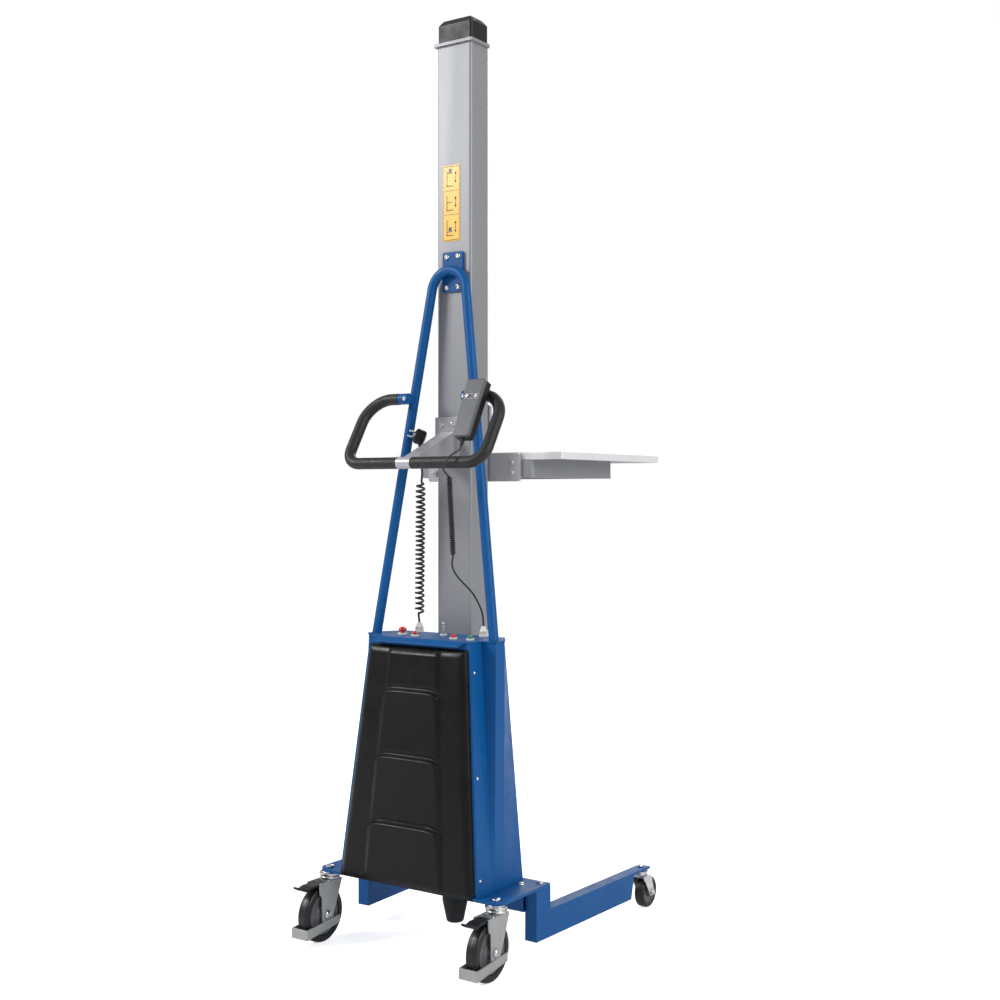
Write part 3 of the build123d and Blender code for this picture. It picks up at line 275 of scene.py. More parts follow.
def make_finish(name, colour, roughness, metallic=0.0, mottle=0.12, cloud=9.0, grain=900.0, depth=0.05,
                edge=0.25, edge_highlight_colour=None, stretch=(1, 1, 1), coat=0.0, specular=0.5, rough_spread=0.08,
                dust=None):
    """A solid finish: a mottled colour, uneven gloss, fine grain, and a painted highlight that lightens its
    edges.
    """
    material, tree, surface, coordinates = shader(name)
    darker = tuple(c * (1 - mottle) for c in colour)
    lighter = tuple(min(1, c * (1 + mottle)) for c in colour)
    clouds = noise(tree, coordinates, cloud, 5.0)
    tone = blend_colours(tree, spread(tree, clouds, 0, 1), darker, lighter)
    # Painted highlight: on sharp edges the colour is mixed towards a paler tint of itself, as if the edges
    # caught the light.
    mask, soft_normal = painted_edge_highlight(tree, EDGE_RADIUS)
    highlight_tone = edge_highlight_colour or tuple(min(1, c * 1.5 + 0.02) for c in colour)
    highlight_share = tree.nodes.new("ShaderNodeMath")
    highlight_share.operation = "MULTIPLY"
    highlight_share.inputs[1].default_value = edge
    tree.links.new(mask, highlight_share.inputs[0])
    tone = blend_colours(tree, highlight_share.outputs[0], tone, highlight_tone)
    if dust:
        speck = spread(tree, noise(tree, coordinates, DUST_SCALE, 6.0), 0, dust, 0.52, 0.8)
        tone = blend_colours(tree, speck, tone, DUST_COLOUR)
    tree.links.new(tone, surface.inputs["Base Color"])
    smudge = noise(tree, coordinates, cloud * 4, 3.0, stretch)
    tree.links.new(
        spread(tree, smudge, roughness - rough_spread, roughness + rough_spread), surface.inputs["Roughness"]
    )
    surface.inputs["Metallic"].default_value = metallic
    surface.inputs["Coat Weight"].default_value = coat
    surface.inputs["Coat Roughness"].default_value = 0.2
    surface.inputs["Specular IOR Level"].default_value = specular
    bump = tree.nodes.new("ShaderNodeBump")
    bump.inputs["Strength"].default_value = depth
    bump.inputs["Distance"].default_value = 0.001
    tree.links.new(noise(tree, coordinates, grain, 2.0, stretch), bump.inputs["Height"])
    tree.links.new(soft_normal, bump.inputs["Normal"])
    tree.links.new(bump.outputs["Normal"], surface.inputs["Normal"])
    return material


# In each finish, edge sets how strongly its sharp edges get the painted highlight, and the edge colour, where
# given, is that highlight's tint.
FINISHES = {
    "powder_blue": dict(colour=(0.001, 0.078, 0.26), roughness=0.42, specular=0.22, mottle=0.05, grain=700,
                        depth=0.1, edge=0.3, edge_highlight_colour=(0.02, 0.14, 0.38)),
    "mast_silver": dict(colour=(0.25, 0.255, 0.27), roughness=0.42, metallic=0.25, mottle=0.04, cloud=3,
                        grain=1300, depth=0.05, stretch=(1, 1, 0.06), edge=0.35),
    "bracket_silver": dict(colour=(0.42, 0.42, 0.44), roughness=0.35, metallic=0.3, mottle=0.05, edge=0.5),
    "tray_white": dict(colour=(0.72, 0.72, 0.73), roughness=0.35, metallic=0.2, mottle=0.04, edge=0.4),
    "bright_zinc": dict(colour=(0.62, 0.62, 0.62), roughness=0.28, metallic=1.0, mottle=0.12, cloud=60,
                        grain=400, depth=0.03, edge=0.4, dust=0.15),
    "castor_grey": dict(colour=(0.36, 0.37, 0.36), roughness=0.4, metallic=0.45, mottle=0.08, cloud=20,
                        edge=0.45, dust=0.2),
    "turned_steel": dict(colour=(0.4, 0.4, 0.42), roughness=0.3, metallic=1.0, mottle=0.08, cloud=30),
    "cap_plastic": dict(colour=(0.009, 0.009, 0.01), roughness=0.42, specular=0.3, mottle=0.1, grain=1600,
                        depth=0.16, edge=0.3, edge_highlight_colour=(0.06, 0.06, 0.065)),
    "foam_grip": dict(colour=(0.014, 0.0145, 0.016), roughness=0.46, specular=0.35, mottle=0.12, cloud=25,
                      grain=1800, depth=0.25, edge=0.2),
    "pad_cover": dict(colour=(0.003, 0.003, 0.003), roughness=0.34, specular=0.22, mottle=0.12, cloud=6,
                      grain=420, depth=0.2, edge=0.15),
    "label_film": dict(colour=(0.82, 0.45, 0.008), roughness=0.3, mottle=0.03, depth=0.01, coat=0.4),
    "ink_black": dict(colour=(0.012, 0.012, 0.012), roughness=0.35, mottle=0.05, depth=0.01, coat=0.3),
    "stop_red": dict(colour=(0.55, 0.008, 0.012), roughness=0.25, mottle=0.05, depth=0.02, coat=0.5),
    "cream_plastic": dict(colour=(0.72, 0.7, 0.64), roughness=0.38, mottle=0.05, cloud=40, depth=0.05),
    "handset_grey": dict(colour=(0.085, 0.09, 0.1), roughness=0.4, metallic=0.1, mottle=0.05, cloud=18,
                         grain=1500, depth=0.16, edge=0.5),
    "case_black": dict(colour=(0.01, 0.01, 0.011), roughness=0.5, specular=0.3, mottle=0.15, grain=900,
                       depth=0.2),
    "cast_grey": dict(colour=(0.2, 0.2, 0.21), roughness=0.55, metallic=0.6, mottle=0.15, cloud=30, grain=300,
                      depth=0.3),
    "belt_rubber": dict(colour=(0.018, 0.018, 0.018), roughness=0.6, mottle=0.1, depth=0.2),
    "tyre_rubber": dict(colour=(0.008, 0.008, 0.009), roughness=0.36, specular=0.4, mottle=0.15, cloud=30,
                        grain=700, depth=0.1, dust=0.05),
    "wheel_core": dict(colour=(0.1, 0.105, 0.115), roughness=0.42, mottle=0.08, cloud=30, depth=0.1,
                       dust=0.2),
    "cord_jacket": dict(colour=(0.012, 0.012, 0.012), roughness=0.38, mottle=0.1, cloud=60, grain=1200,
                        depth=0.08),
    "glide_plastic": dict(colour=(0.7, 0.7, 0.66), roughness=0.4, mottle=0.04, depth=0.03),
}
_made = {}


def material_of(name):
    """The finish of that name, made once."""
    if name not in _made:
        _made[name] = make_finish(name, **FINISHES[name])
    return _made[name]


def lens(name, colour, glow):
    """A clear tinted lamp lens with a soft inner glow."""
    if name in _made:
        return _made[name]
    material, tree, surface, coordinates = shader(name)
    ripple = noise(tree, coordinates, 300.0, 2.0)
    tree.links.new(
        blend_colours(tree, ripple, tuple(c * 0.7 for c in colour), colour), surface.inputs["Base Color"]
    )
    surface.inputs["Roughness"].default_value = 0.12
    surface.inputs["Coat Weight"].default_value = 0.6
    surface.inputs["Emission Color"].default_value = (*colour, 1)
    surface.inputs["Emission Strength"].default_value = glow
    _made[name] = material
    return material


NODE_FINISH = {
    "base_plate": "powder_blue", "cross_beam": "powder_blue", "left_leg": "powder_blue",
    "right_leg": "powder_blue", "housing_shell": "powder_blue", "housing_front": "powder_blue",
    "top_panel": "powder_blue", "drive_motor": "case_black", "gearbox": "cast_grey",
    "drive_pulley": "turned_steel", "idler_pulley": "turned_steel", "pulley_axle": "turned_steel",
    "lift_belt": "belt_rubber", "battery_pack": "case_black", "control_unit": "case_black",
    "mast_tube": "mast_silver", "mast_collar": "mast_silver", "mast_cap": "cap_plastic",
    "carriage_plate": "bracket_silver", "carriage_glides": "glide_plastic", "platform_frame": "mast_silver",
    "platform_tray": "tray_white", "a_frame": "powder_blue", "handlebar_tube": "bright_zinc",
    "handle_grips": "foam_grip", "handle_bracket": "bracket_silver", "handle_clamps": "powder_blue",
    "handset_holder": "cap_plastic", "panel_bezels": "cream_plastic", "toggle_switch": "bright_zinc",
    "caster_heads": "bright_zinc", "rear_left_fork": "castor_grey", "rear_right_fork": "castor_grey",
    "front_left_fork": "bright_zinc", "front_right_fork": "bright_zinc", "rear_left_pedal": "cap_plastic",
    "rear_right_pedal": "cap_plastic", "handset_body": "cap_plastic", "handset_face": "handset_grey",
    "up_button": "turned_steel", "down_button": "turned_steel",
}


class LIFT_OT_paint(bpy.types.Operator):
    """Give every made part its finish"""
    bl_idname = "lift.paint"
    bl_label = "Paint the parts"

    def execute(self, context):
        for node, finish in NODE_FINISH.items():
            for holder in frame["nodes"][node].material_slots:
                holder.material = material_of(finish)
        return {"FINISHED"}


# ------------------------------------------------------------------ cords
class CordSettings(bpy.types.PropertyGroup):
    handset_diameter: bpy.props.FloatProperty(
        name="Handset cord", description="Diameter of the handset's cord", default=0.004, unit="LENGTH")
    handset_turns: bpy.props.IntProperty(
        name="Handset turns", description="Turns in the handset's curly stretch", default=36)
    charger_diameter: bpy.props.FloatProperty(
        name="Charger cord", description="Diameter of the charger's cord", default=0.005, unit="LENGTH")
    charger_turns: bpy.props.IntProperty(
        name="Charger turns", description="Turns in the charger's curly stretch", default=27)


def helix(top, bottom, radius, turns, per_turn=14):
    """Points of a curly stretch between two points. It opens from its middle line over its first turns,
    hangs a little looser in the middle, and no two of its turns are quite the same."""
    opening, sag = 0.6, 0.012
    run = bottom - top
    side = run.cross(Vector((0, 1, 0))).normalized()
    across = run.cross(side).normalized()
    points = []
    total = turns * per_turn
    skip = per_turn // 4
    for i in range(skip, total - skip + 1):
        turn = i / per_turn
        share = i / total
        hang = share + sag * sin(2 * pi * share)
        ramp = min(1.0, turn / opening, (turns - turn) / opening)
        loose = 1 + 0.05 * sin(turn * 2.1) + 0.03 * sin(turn * 5.3)
        swing = radius * ramp * loose
        angle = 2 * pi * turn
        points.append(top + run * hang + side * (swing * cos(angle)) + across * (swing * sin(angle)))
    return points


def cord_curve(name, points, diameter):
    """One smooth open spline with round section."""
    curve = bpy.data.curves.new(name, "CURVE")
    curve.dimensions = "3D"
    curve.bevel_depth = diameter / 2
    curve.bevel_resolution = 3
    curve.resolution_u = 3
    curve.use_fill_caps = True
    spline = curve.splines.new("NURBS")
    spline.points.add(len(points) - 1)
    for control, point in zip(spline.points, points):
        control.co = (*point, 1)
    spline.order_u = 3
    spline.use_endpoint_u = True
    piece = bpy.data.objects.new(name, curve)
    bpy.context.scene.collection.objects.link(piece)
    return piece


class LIFT_OT_cords(bpy.types.Operator):
    """Make the handset's and the charger's curly cords"""
    bl_idname = "lift.cords"
    bl_label = "Cords"

    def execute(self, context):
        sizes = context.scene.lift_cords
        handset_curl, charger_curl = 0.0045, 0.009
        relief_tip = place(130, -150.68, 1105.47)
        lead = [relief_tip, place(130, -156.82, 1092.89), place(124, -172, 1088), place(116, -181, 1076),
                place(107, -182, 1063), place(100, -176, 1053), place(97, -164, 1047), place(97, -150, 1040)]
        tail = [place(100, -140, 870), place(97, -141, 854), place(95, -133, 838), place(97, -115, 819),
                place(99, -92, 803), place(100, -68, 786), place(98, -46, 766), place(95, -26, 744),
                place(92, -15, 725), place(92, -15, 708)]
        curl = helix(lead[-1], tail[0], handset_curl, sizes.handset_turns)
        points = lead[:-1] + curl + tail[1:]
        cord = cord_curve("handset_cord", points, sizes.handset_diameter)
        dress(cord, "base", material_of("cord_jacket"))
        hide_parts("handset_lead", "handset_coil", "handset_tail")

        gland_tip = place(-87, -15, 708)
        tail = [gland_tip, place(-85.7, -16.4, 726)]
        lead = [place(-64, -40, 1030), place(-57, -43, 1048), place(-56, -48, 1066),
                place(-58, -50.5, 1086), place(-58, -51, 1105)]
        curl = helix(tail[-1], lead[0], charger_curl, sizes.charger_turns)
        charger = cord_curve("charger_cord", tail[:1] + curl + lead[1:], sizes.charger_diameter)
        dress(charger, "base", material_of("cord_jacket"))
        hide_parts("charger_lead", "charger_coil", "charger_tail")
        plug_pieces()
        return {"FINISHED"}


# ------------------------------------------------------------------ what repeats
def new_tree(name, inputs):
    """An empty geometry tree with named inputs. Each input is (name, socket type, default)."""
    tree = bpy.data.node_groups.new(name, "GeometryNodeTree")
    tree.interface.new_socket("Geometry", in_out="INPUT", socket_type="NodeSocketGeometry")
    tree.interface.new_socket("Geometry", in_out="OUTPUT", socket_type="NodeSocketGeometry")
    for title, kind, default in inputs:
        socket = tree.interface.new_socket(title, in_out="INPUT", socket_type=kind)
        if default is not None:
            socket.default_value = default
    return tree, tree.nodes.new("NodeGroupInput"), tree.nodes.new("NodeGroupOutput")


def wire(tree, kind, links, **settings):
    """Add a node, set its settings, and link or fill its inputs by name."""
    node = tree.nodes.new(kind)
    for key, value in settings.items():
        setattr(node, key, value)
    for title, value in links.items():
        if isinstance(value, bpy.types.NodeSocket):
            tree.links.new(value, node.inputs[title])
        else:
            node.inputs[title].default_value = value
    return node


def attribute(tree, name, kind):
    """The output that reads a named attribute."""
    node = tree.nodes.new("GeometryNodeInputNamedAttribute")
    node.data_type = kind
    node.inputs["Name"].default_value = name
    return node.outputs["Attribute"]


def close_tree(tree, placed, given, result):
    """End a tree: make its instances real and give them the finish."""
    real = wire(tree, "GeometryNodeRealizeInstances", {"Geometry": placed.outputs["Instances"]})
    done = wire(tree, "GeometryNodeSetMaterial", {"Geometry": real.outputs["Geometry"],
                                                  "Material": given.outputs["Finish"]})
    tree.links.new(done.outputs["Geometry"], result.inputs["Geometry"])


def screw_tree():
    """Dome-headed socket screws on points that know which way they aim and how big they are."""
    tree, given, result = new_tree("Socket screws", [
        ("Head radius", "NodeSocketFloat", 0.007),
        ("Head height", "NodeSocketFloat", 0.004),
        ("Socket radius", "NodeSocketFloat", 0.003),
        ("Finish", "NodeSocketMaterial", None),
    ])
    dome = wire(tree, "GeometryNodeMeshUVSphere", {"Segments": 28, "Rings": 14, "Radius": 1.0})
    shape = wire(tree, "ShaderNodeCombineXYZ", {"X": given.outputs["Head radius"],
                                                "Y": given.outputs["Head radius"],
                                                "Z": given.outputs["Head height"]})
    dome = wire(tree, "GeometryNodeTransform", {"Geometry": dome.outputs["Mesh"], "Scale": shape.outputs[0]})
    hexagon = wire(tree, "GeometryNodeMeshCylinder", {"Vertices": 6, "Radius": given.outputs["Socket radius"],
                                                      "Depth": given.outputs["Head height"]})
    lift = wire(tree, "ShaderNodeCombineXYZ", {"Z": given.outputs["Head height"]})
    hexagon = wire(tree, "GeometryNodeTransform", {"Geometry": hexagon.outputs["Mesh"],
                                                   "Translation": lift.outputs[0]})
    head = tree.nodes.new("GeometryNodeMeshBoolean")
    head.operation = "DIFFERENCE"
    tree.links.new(dome.outputs["Geometry"], head.inputs["Mesh 1"])
    tree.links.new(hexagon.outputs["Geometry"], head.inputs["Mesh 2"])
    spots = wire(tree, "GeometryNodeMeshToPoints", {"Mesh": given.outputs["Geometry"]})
    aim = wire(tree, "FunctionNodeAlignRotationToVector", {"Vector": attribute(tree, "aim", "FLOAT_VECTOR")},
               axis="Z")
    placed = wire(tree, "GeometryNodeInstanceOnPoints", {
        "Points": spots.outputs["Points"], "Instance": head.outputs["Mesh"],
        "Rotation": aim.outputs["Rotation"], "Scale": attribute(tree, "size", "FLOAT")})
    close_tree(tree, placed, given, result)
    return tree


def rib_tree():
    """A ring of upright ribs round each point, as on a gland's nut or a knob."""
    tree, given, result = new_tree("Ribs", [
        ("Ring radius", "NodeSocketFloat", 0.009),
        ("Rib count", "NodeSocketInt", 18),
        ("Rib size", "NodeSocketVector", (0.0016, 0.0012, 0.008)),
        ("Finish", "NodeSocketMaterial", None),
    ])
    ring = wire(tree, "GeometryNodeMeshCircle", {"Vertices": given.outputs["Rib count"],
                                                 "Radius": given.outputs["Ring radius"]})
    rib = wire(tree, "GeometryNodeMeshCube", {"Size": given.outputs["Rib size"]})
    spot = tree.nodes.new("GeometryNodeInputPosition")
    face_out = wire(tree, "FunctionNodeAlignRotationToVector", {"Vector": spot.outputs[0]}, axis="X")
    ribs = wire(tree, "GeometryNodeInstanceOnPoints", {
        "Points": ring.outputs["Mesh"], "Instance": rib.outputs["Mesh"],
        "Rotation": face_out.outputs["Rotation"]})
    crown = wire(tree, "GeometryNodeRealizeInstances", {"Geometry": ribs.outputs["Instances"]})
    spots = wire(tree, "GeometryNodeMeshToPoints", {"Mesh": given.outputs["Geometry"]})
    placed = wire(tree, "GeometryNodeInstanceOnPoints", {
        "Points": spots.outputs["Points"], "Instance": crown.outputs["Geometry"]})
    close_tree(tree, placed, given, result)
    return tree


def grow(name, spots, tree, settings):
    """Grow a tree's shapes on spots of (point, aim, size) and return them as one plain mesh piece."""
    piece = mesh_piece(name, [spot[0] for spot in spots], [])
    piece.data.attributes.new("aim", "FLOAT_VECTOR", "POINT")
    piece.data.attributes.new("size", "FLOAT", "POINT")
    for i, (_, aim, size) in enumerate(spots):
        piece.data.attributes["aim"].data[i].vector = aim
        piece.data.attributes["size"].data[i].value = size
    grower = piece.modifiers.new("Grow", "NODES")
    grower.node_group = tree
    for item in tree.interface.items_tree:
        if item.in_out == "INPUT" and item.name in settings:
            grower[item.identifier] = settings[item.name]
    bake_modifiers(piece)
    piece.data.set_sharp_from_angle(angle=radians(32))
    return piece


def head_of(radius, height, socket, finish):
    """The settings of one kind of screw head."""
    return {"Head radius": radius, "Head height": height, "Socket radius": socket, "Finish": finish}


class ScrewSettings(bpy.types.PropertyGroup):
    frame_head: bpy.props.FloatProperty(
        name="Screw head", description="Radius of the frame's screw heads", default=0.0068, unit="LENGTH")
    plate_head: bpy.props.FloatProperty(
        name="Bolt head", description="Radius of the bolt heads on the base plate", default=0.0085,
        unit="LENGTH")
    rivet_head: bpy.props.FloatProperty(
        name="Rivet head", description="Radius of the rivets on the housing", default=0.004, unit="LENGTH")


class LIFT_OT_screws(bpy.types.Operator):
    """Make the screws, bolts and rivets"""
    bl_idname = "lift.screws"
    bl_label = "Screws"

    def execute(self, context):
        sizes = context.scene.lift_screws
        tree = screw_tree()
        zinc = material_of("bright_zinc")
        back = Vector((0, -1, 0))
        up = Vector((0, 0, 1))
        plate_scale = sizes.plate_head / sizes.frame_head
        bridge_half, bridge_face, bridge_heights = 15.5, -6, (1469.5, 1538.5)
        bracket_places, bracket_face, bracket_height = (-32, -2), -4, 1159
        plate_top, plate_places = 158, ((233, -2), (204, -34))
        clip_half, clip_face, clip_height, clip_scale = 82, -78.6, 1216, 0.72
        spots = [(place(x, bridge_face, z), back, 1.0)
                 for x in (-bridge_half, bridge_half) for z in bridge_heights]
        spots += [(place(x, bracket_face, bracket_height), back, 1.0) for x in bracket_places]
        spots += [(place(side * x, y, plate_top), up, plate_scale)
                  for side in (-1, 1) for x, y in plate_places]
        spots += [(place(side * clip_half, clip_face, clip_height), back, clip_scale) for side in (-1, 1)]
        screws = grow("socket_screws", spots, tree, head_of(sizes.frame_head, 0.0042, 0.0031, zinc))
        dress(screws, "base", zinc)
        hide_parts("frame_screws")

        rivet_inset, rivet_heights = 12, (190, 400, 620)
        spots = [(place(side * housing_half(z), housing_back(z) + rivet_inset, z),
                  Vector((side, 0, TAPER)), 1.0)
                 for side in (-1, 1) for z in rivet_heights]
        rivets = grow("housing_pop_rivets", spots, tree, head_of(sizes.rivet_head, 0.0022, 0.0012, zinc))
        dress(rivets, "base", zinc)
        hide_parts("housing_rivets")

        low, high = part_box("carriage_bolts")
        height = (low.z + high.z) / 2
        bolt_half, bolt_face, bolt_rise = 108, 0.074, 0.012
        silver = material_of("bracket_silver")
        spots = [(Vector((x * MM, MAST_BACK + bolt_face, height + dz)), back, 1.0)
                 for x in (-bolt_half, bolt_half) for dz in (-bolt_rise, bolt_rise)]
        bolts = grow("carriage_cap_screws", spots, tree, head_of(0.0072, 0.005, 0.0033, silver))
        dress(bolts, "carriage", silver)
        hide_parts("carriage_bolts")

        fork_cheek, rear_head = 0.0055, 1.3
        for name in CASTORS:
            low, high = corners_of(f"{name}_wheel")
            centre = (low + high) / 2
            reach = (high.x - low.x) / 2 + fork_cheek
            head = rear_head if name.startswith("rear") else 1.0
            spots = [(centre + Vector((side * reach, 0, 0)), Vector((side, 0, 0)), head) for side in (-1, 1)]
            nuts = grow(f"{name}_axle_nuts", spots, tree, head_of(0.0075, 0.0045, 0.0032, zinc))
            dress(nuts, f"{name}_swivel", zinc)
        return {"FINISHED"}


# ------------------------------------------------------------------ pad
class PadSettings(bpy.types.PropertyGroup):
    thickness: bpy.props.FloatProperty(
        name="Pad thickness", description="Thickness of the pad at its edges", default=0.013, unit="LENGTH")
    crown: bpy.props.FloatProperty(
        name="Crown", description="How far the pad's middle swells out", default=0.007, unit="LENGTH")
    step: bpy.props.FloatProperty(
        name="Panel step", description="How far each panel's top edge stands out", default=0.011,
        unit="LENGTH")
    edge: bpy.props.FloatProperty(
        name="Edge radius", description="Radius of the pad's outer edge", default=0.018, unit="LENGTH")


def smooth_step(value):
    """Rise softly from 0 to 1 as the value does."""
    value = max(0.0, min(1.0, value))
    return value * value * (3 - 2 * value)


def pad_height(x, s, half, top, sizes):
    """How far the pad stands off its backing at a point: a round edge, a soft crown and stepped panels.
    x runs across the pad and s up it, both in metres."""
    below, past_foot, past_top = 0.014, 0.05, 0.06
    edge = min(half - abs(x), s + below, top - s)
    share = max(0.0, min(1.0, edge / sizes.edge))
    round_edge = sqrt(max(0.0, 1 - (1 - share) ** 2))
    up_share = min(1, max(0, (s + past_foot) / (top + 2 * past_foot)))
    crown = sizes.crown * cos(x / half * pi / 2) ** 0.5 * sin(pi * up_share)
    height = sizes.thickness * round_edge + crown * share
    column_foot, column_loss, column_edge = 0.106, 0.038, 0.014
    column = column_foot - column_loss * s / top
    inside = smooth_step((column - abs(x)) / column_edge + 0.3)
    droop, seam = 0.012, 0.009
    near = s + droop * min(1.0, abs(x) / column) ** 7
    rises = [-past_foot, 0.124, 0.269, 0.413, top + past_top]
    for low, high in zip(rises, rises[1:]):
        lip = smooth_step((high - near) / seam + 0.1) * smooth_step((near - low) / seam - 0.1)
        rise = max(0.0, min(1.0, (near - low) / (high - low)))
        height += sizes.step * inside * share * lip * (0.25 + 0.75 * rise ** 2.2)
    return height


class LIFT_OT_back_pad(bpy.types.Operator):
    """Make the padded cover behind the housing, with its stepped middle panels"""
    bl_idname = "lift.back_pad"
    bl_label = "Back pad"

    def execute(self, context):
        sizes = context.scene.lift_pad
        slant = hypot(1, LEAN)
        low_z, high_z, margin = 165.0, 668.0, 7.0
        top = (high_z - low_z) * slant * MM
        origin = place(0, housing_back(low_z), low_z)
        up = Vector((0, LEAN, 1)).normalized()
        out = Vector((0, -1, LEAN)).normalized()
        rows, columns, skirt = 230, 130, 0.013
        plate_gap, gap_blend, backing = 0.0075, 0.003, 0.0002

        def half_at(s):
            return (housing_half(low_z + s / slant / MM) - margin) * MM

        def gap_at(s):
            return plate_gap * smooth_step(-s / gap_blend) if s < 0 else 0.0

        points = []
        for j in range(rows + 1):
            s = -skirt + (top + skirt) * j / rows
            half = half_at(s)
            for i in range(columns + 1):
                ease = -cos(pi * i / columns)
                across = 0.35 * ease + 0.65 * (2 * i / columns - 1)
                x = across * half
                lift = max(pad_height(x, s, half, top, sizes), gap_at(s))
                points.append(origin + Vector((x, 0, 0)) + up * s + out * lift)
        wide = columns + 1
        faces = [(j * wide + i, (j + 1) * wide + i, (j + 1) * wide + i + 1, j * wide + i + 1)
                 for j in range(rows) for i in range(columns)]
        front = len(points)
        for j in range(rows + 1):
            s = -skirt + (top + skirt) * j / rows
            half = half_at(s)
            for side in (-1, 1):
                points.append(origin + Vector((side * half, 0, 0)) + up * s + out * (gap_at(s) - backing))
        for j in range(rows):
            a, b = front + 2 * j, front + 2 * j + 2
            faces.append((a, b, b + 1, a + 1))
            faces.append((j * wide, a, b, (j + 1) * wide))
            faces.append((j * wide + columns, (j + 1) * wide + columns, b + 1, a + 1))
        faces.append((front, front + 1, *range(columns, -1, -1)))
        last = front + 2 * rows
        faces.append((last + 1, last, *range(rows * wide, rows * wide + columns + 1)))
        pad = mesh_piece("back_pad_cover", points, faces)
        turn_outwards(pad)
        pad.data.set_sharp_from_angle(angle=radians(50))
        dress(pad, "base", material_of("pad_cover"))
        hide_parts("back_pad")
        return {"FINISHED"}


# ------------------------------------------------------------------ wheels
class LIFT_OT_wheels(bpy.types.Operator):
    """Make each castor wheel as a tyre on a moulded core"""
    bl_idname = "lift.wheels"
    bl_label = "Wheels"

    def execute(self, context):
        for name in CASTORS:
            node = f"{name}_wheel"
            low, high = corners_of(node)
            centre = (low + high) / 2
            radius = (high.z - low.z) / 2
            hub = (high.x - low.x) / 2
            half = 0.014 if name.startswith("rear") else 0.0125
            where = axes_matrix(centre, (1, 0, 0), (0, 1, 0))
            seat = radius * 0.74
            shoulder = half * 0.55
            side = [(seat, half - 0.0015), (seat + 0.001, half), (radius - shoulder * 0.9, half)]
            for step in range(1, 9):
                angle = pi / 2 * step / 8
                side.append((radius - shoulder * (1 - sin(angle)), half - shoulder * 0.9 * (1 - cos(angle))))
            tread = [(radius, half * 0.35), (radius - 0.0006, half * 0.3), (radius, half * 0.25)]
            right = side + tread
            left = [(r, -h) for r, h in reversed(right)]
            tyre = lathe(f"{name}_tyre", right + left + [right[0]], where, 96, crease=40)
            dress(tyre, node, material_of("tyre_rubber"))
            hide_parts(node)
            face = [(0.0052, hub), (0.0095, hub), (0.0105, hub - 0.001), (0.0115, half * 0.72),
                    (radius * 0.3, half * 0.62), (radius * 0.33, half * 0.5), (radius * 0.6, half * 0.5),
                    (radius * 0.64, half * 0.78), (seat - 0.001, half * 0.84),
                    (seat - 0.0002, half * 0.7)]
            rim = face + [(r, -h) for r, h in reversed(face)]
            core = lathe(f"{name}_core", rim + [rim[0]], where, 80, crease=35)
            dress(core, node, material_of("wheel_core"))
        return {"FINISHED"}


# ------------------------------------------------------------------ label
class LIFT_OT_label(bpy.types.Operator):
    """Make the yellow plate with its plain height marks"""
    bl_idname = "lift.label"
    bl_label = "Label plate"

    def execute(self, context):
        low, high = corners_of("label_plate")
        centre = Vector(((low.x + high.x) / 2, high.y, (low.z + high.z) / 2))
        wide, tall = high.x - low.x, high.z - low.z
        film, ink_depth = 0.0007, 0.00012
        where = axes_matrix(centre, (0, -1, 0), (1, 0, 0))
        plate = prism("label_backing", rounded_outline(rectangle(wide / 2, tall / 2), 0.003), film, where)
        dress(plate, "base", material_of("label_film"))
        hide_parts("label_plate")
        ink = []

        def bar(x, y, w, h):
            ink.append([(x + across, y + up) for across, up in rectangle(w / 2, h / 2)])

        for end in (-1, 1):
            bar(0, end * (tall / 2 - 0.003), wide - 0.004, 0.0016)
            bar(end * (wide / 2 - 0.0022), 0, 0.0008, tall - 0.006)
        for divider in (0.028, -0.026):
            bar(0, divider, wide - 0.006, 0.0009)
        # Each field shows an upright with a foot, a two-way arrow and the carriage at another height.
        arrow_x, arrow_half, arrow_length = 0.012, 0.0035, 0.006
        for row, height in ((0.056, 0.036), (0.0, 0.034), (-0.056, 0.036)):
            bar(-0.012, row, 0.0022, height)
            bar(-0.004, row - height / 2 + 0.001, 0.02, 0.0022)
            bar(arrow_x, row + 0.002, 0.0016, height * 0.62)
            for way in (-1, 1):
                tip = row + 0.002 + way * height * 0.38
                base = tip - way * arrow_length
                ink.append([(arrow_x - arrow_half, base), (arrow_x + arrow_half, base), (arrow_x, tip)])
        for level, (row, rise) in enumerate(((0.056, 0.012), (0.0, 0.002), (-0.056, -0.009))):
            bar(-0.004, row + rise, 0.014, 0.0018)
            if level != 1:
                bar(-0.003, row + rise + 0.006, 0.009, 0.009)
        lifted = axes_matrix(centre + Vector((0, -film, 0)), (0, -1, 0), (1, 0, 0))
        points, faces = [], []
        for shape in ink:
            start = len(points)
            count = len(shape)
            points += [lifted @ Vector((x, y, z)) for z in (0.0, ink_depth) for x, y in shape]
            faces.append(tuple(start + i for i in reversed(range(count))))
            faces.append(tuple(start + count + i for i in range(count)))
            faces += [(start + i, start + (i + 1) % count, start + count + (i + 1) % count, start + count + i)
                      for i in range(count)]
        marks = mesh_piece("label_marks", points, faces, smooth=False)
        turn_outwards(marks, merge=False)
        dress(marks, "base", material_of("ink_black"))
        return {"FINISHED"}


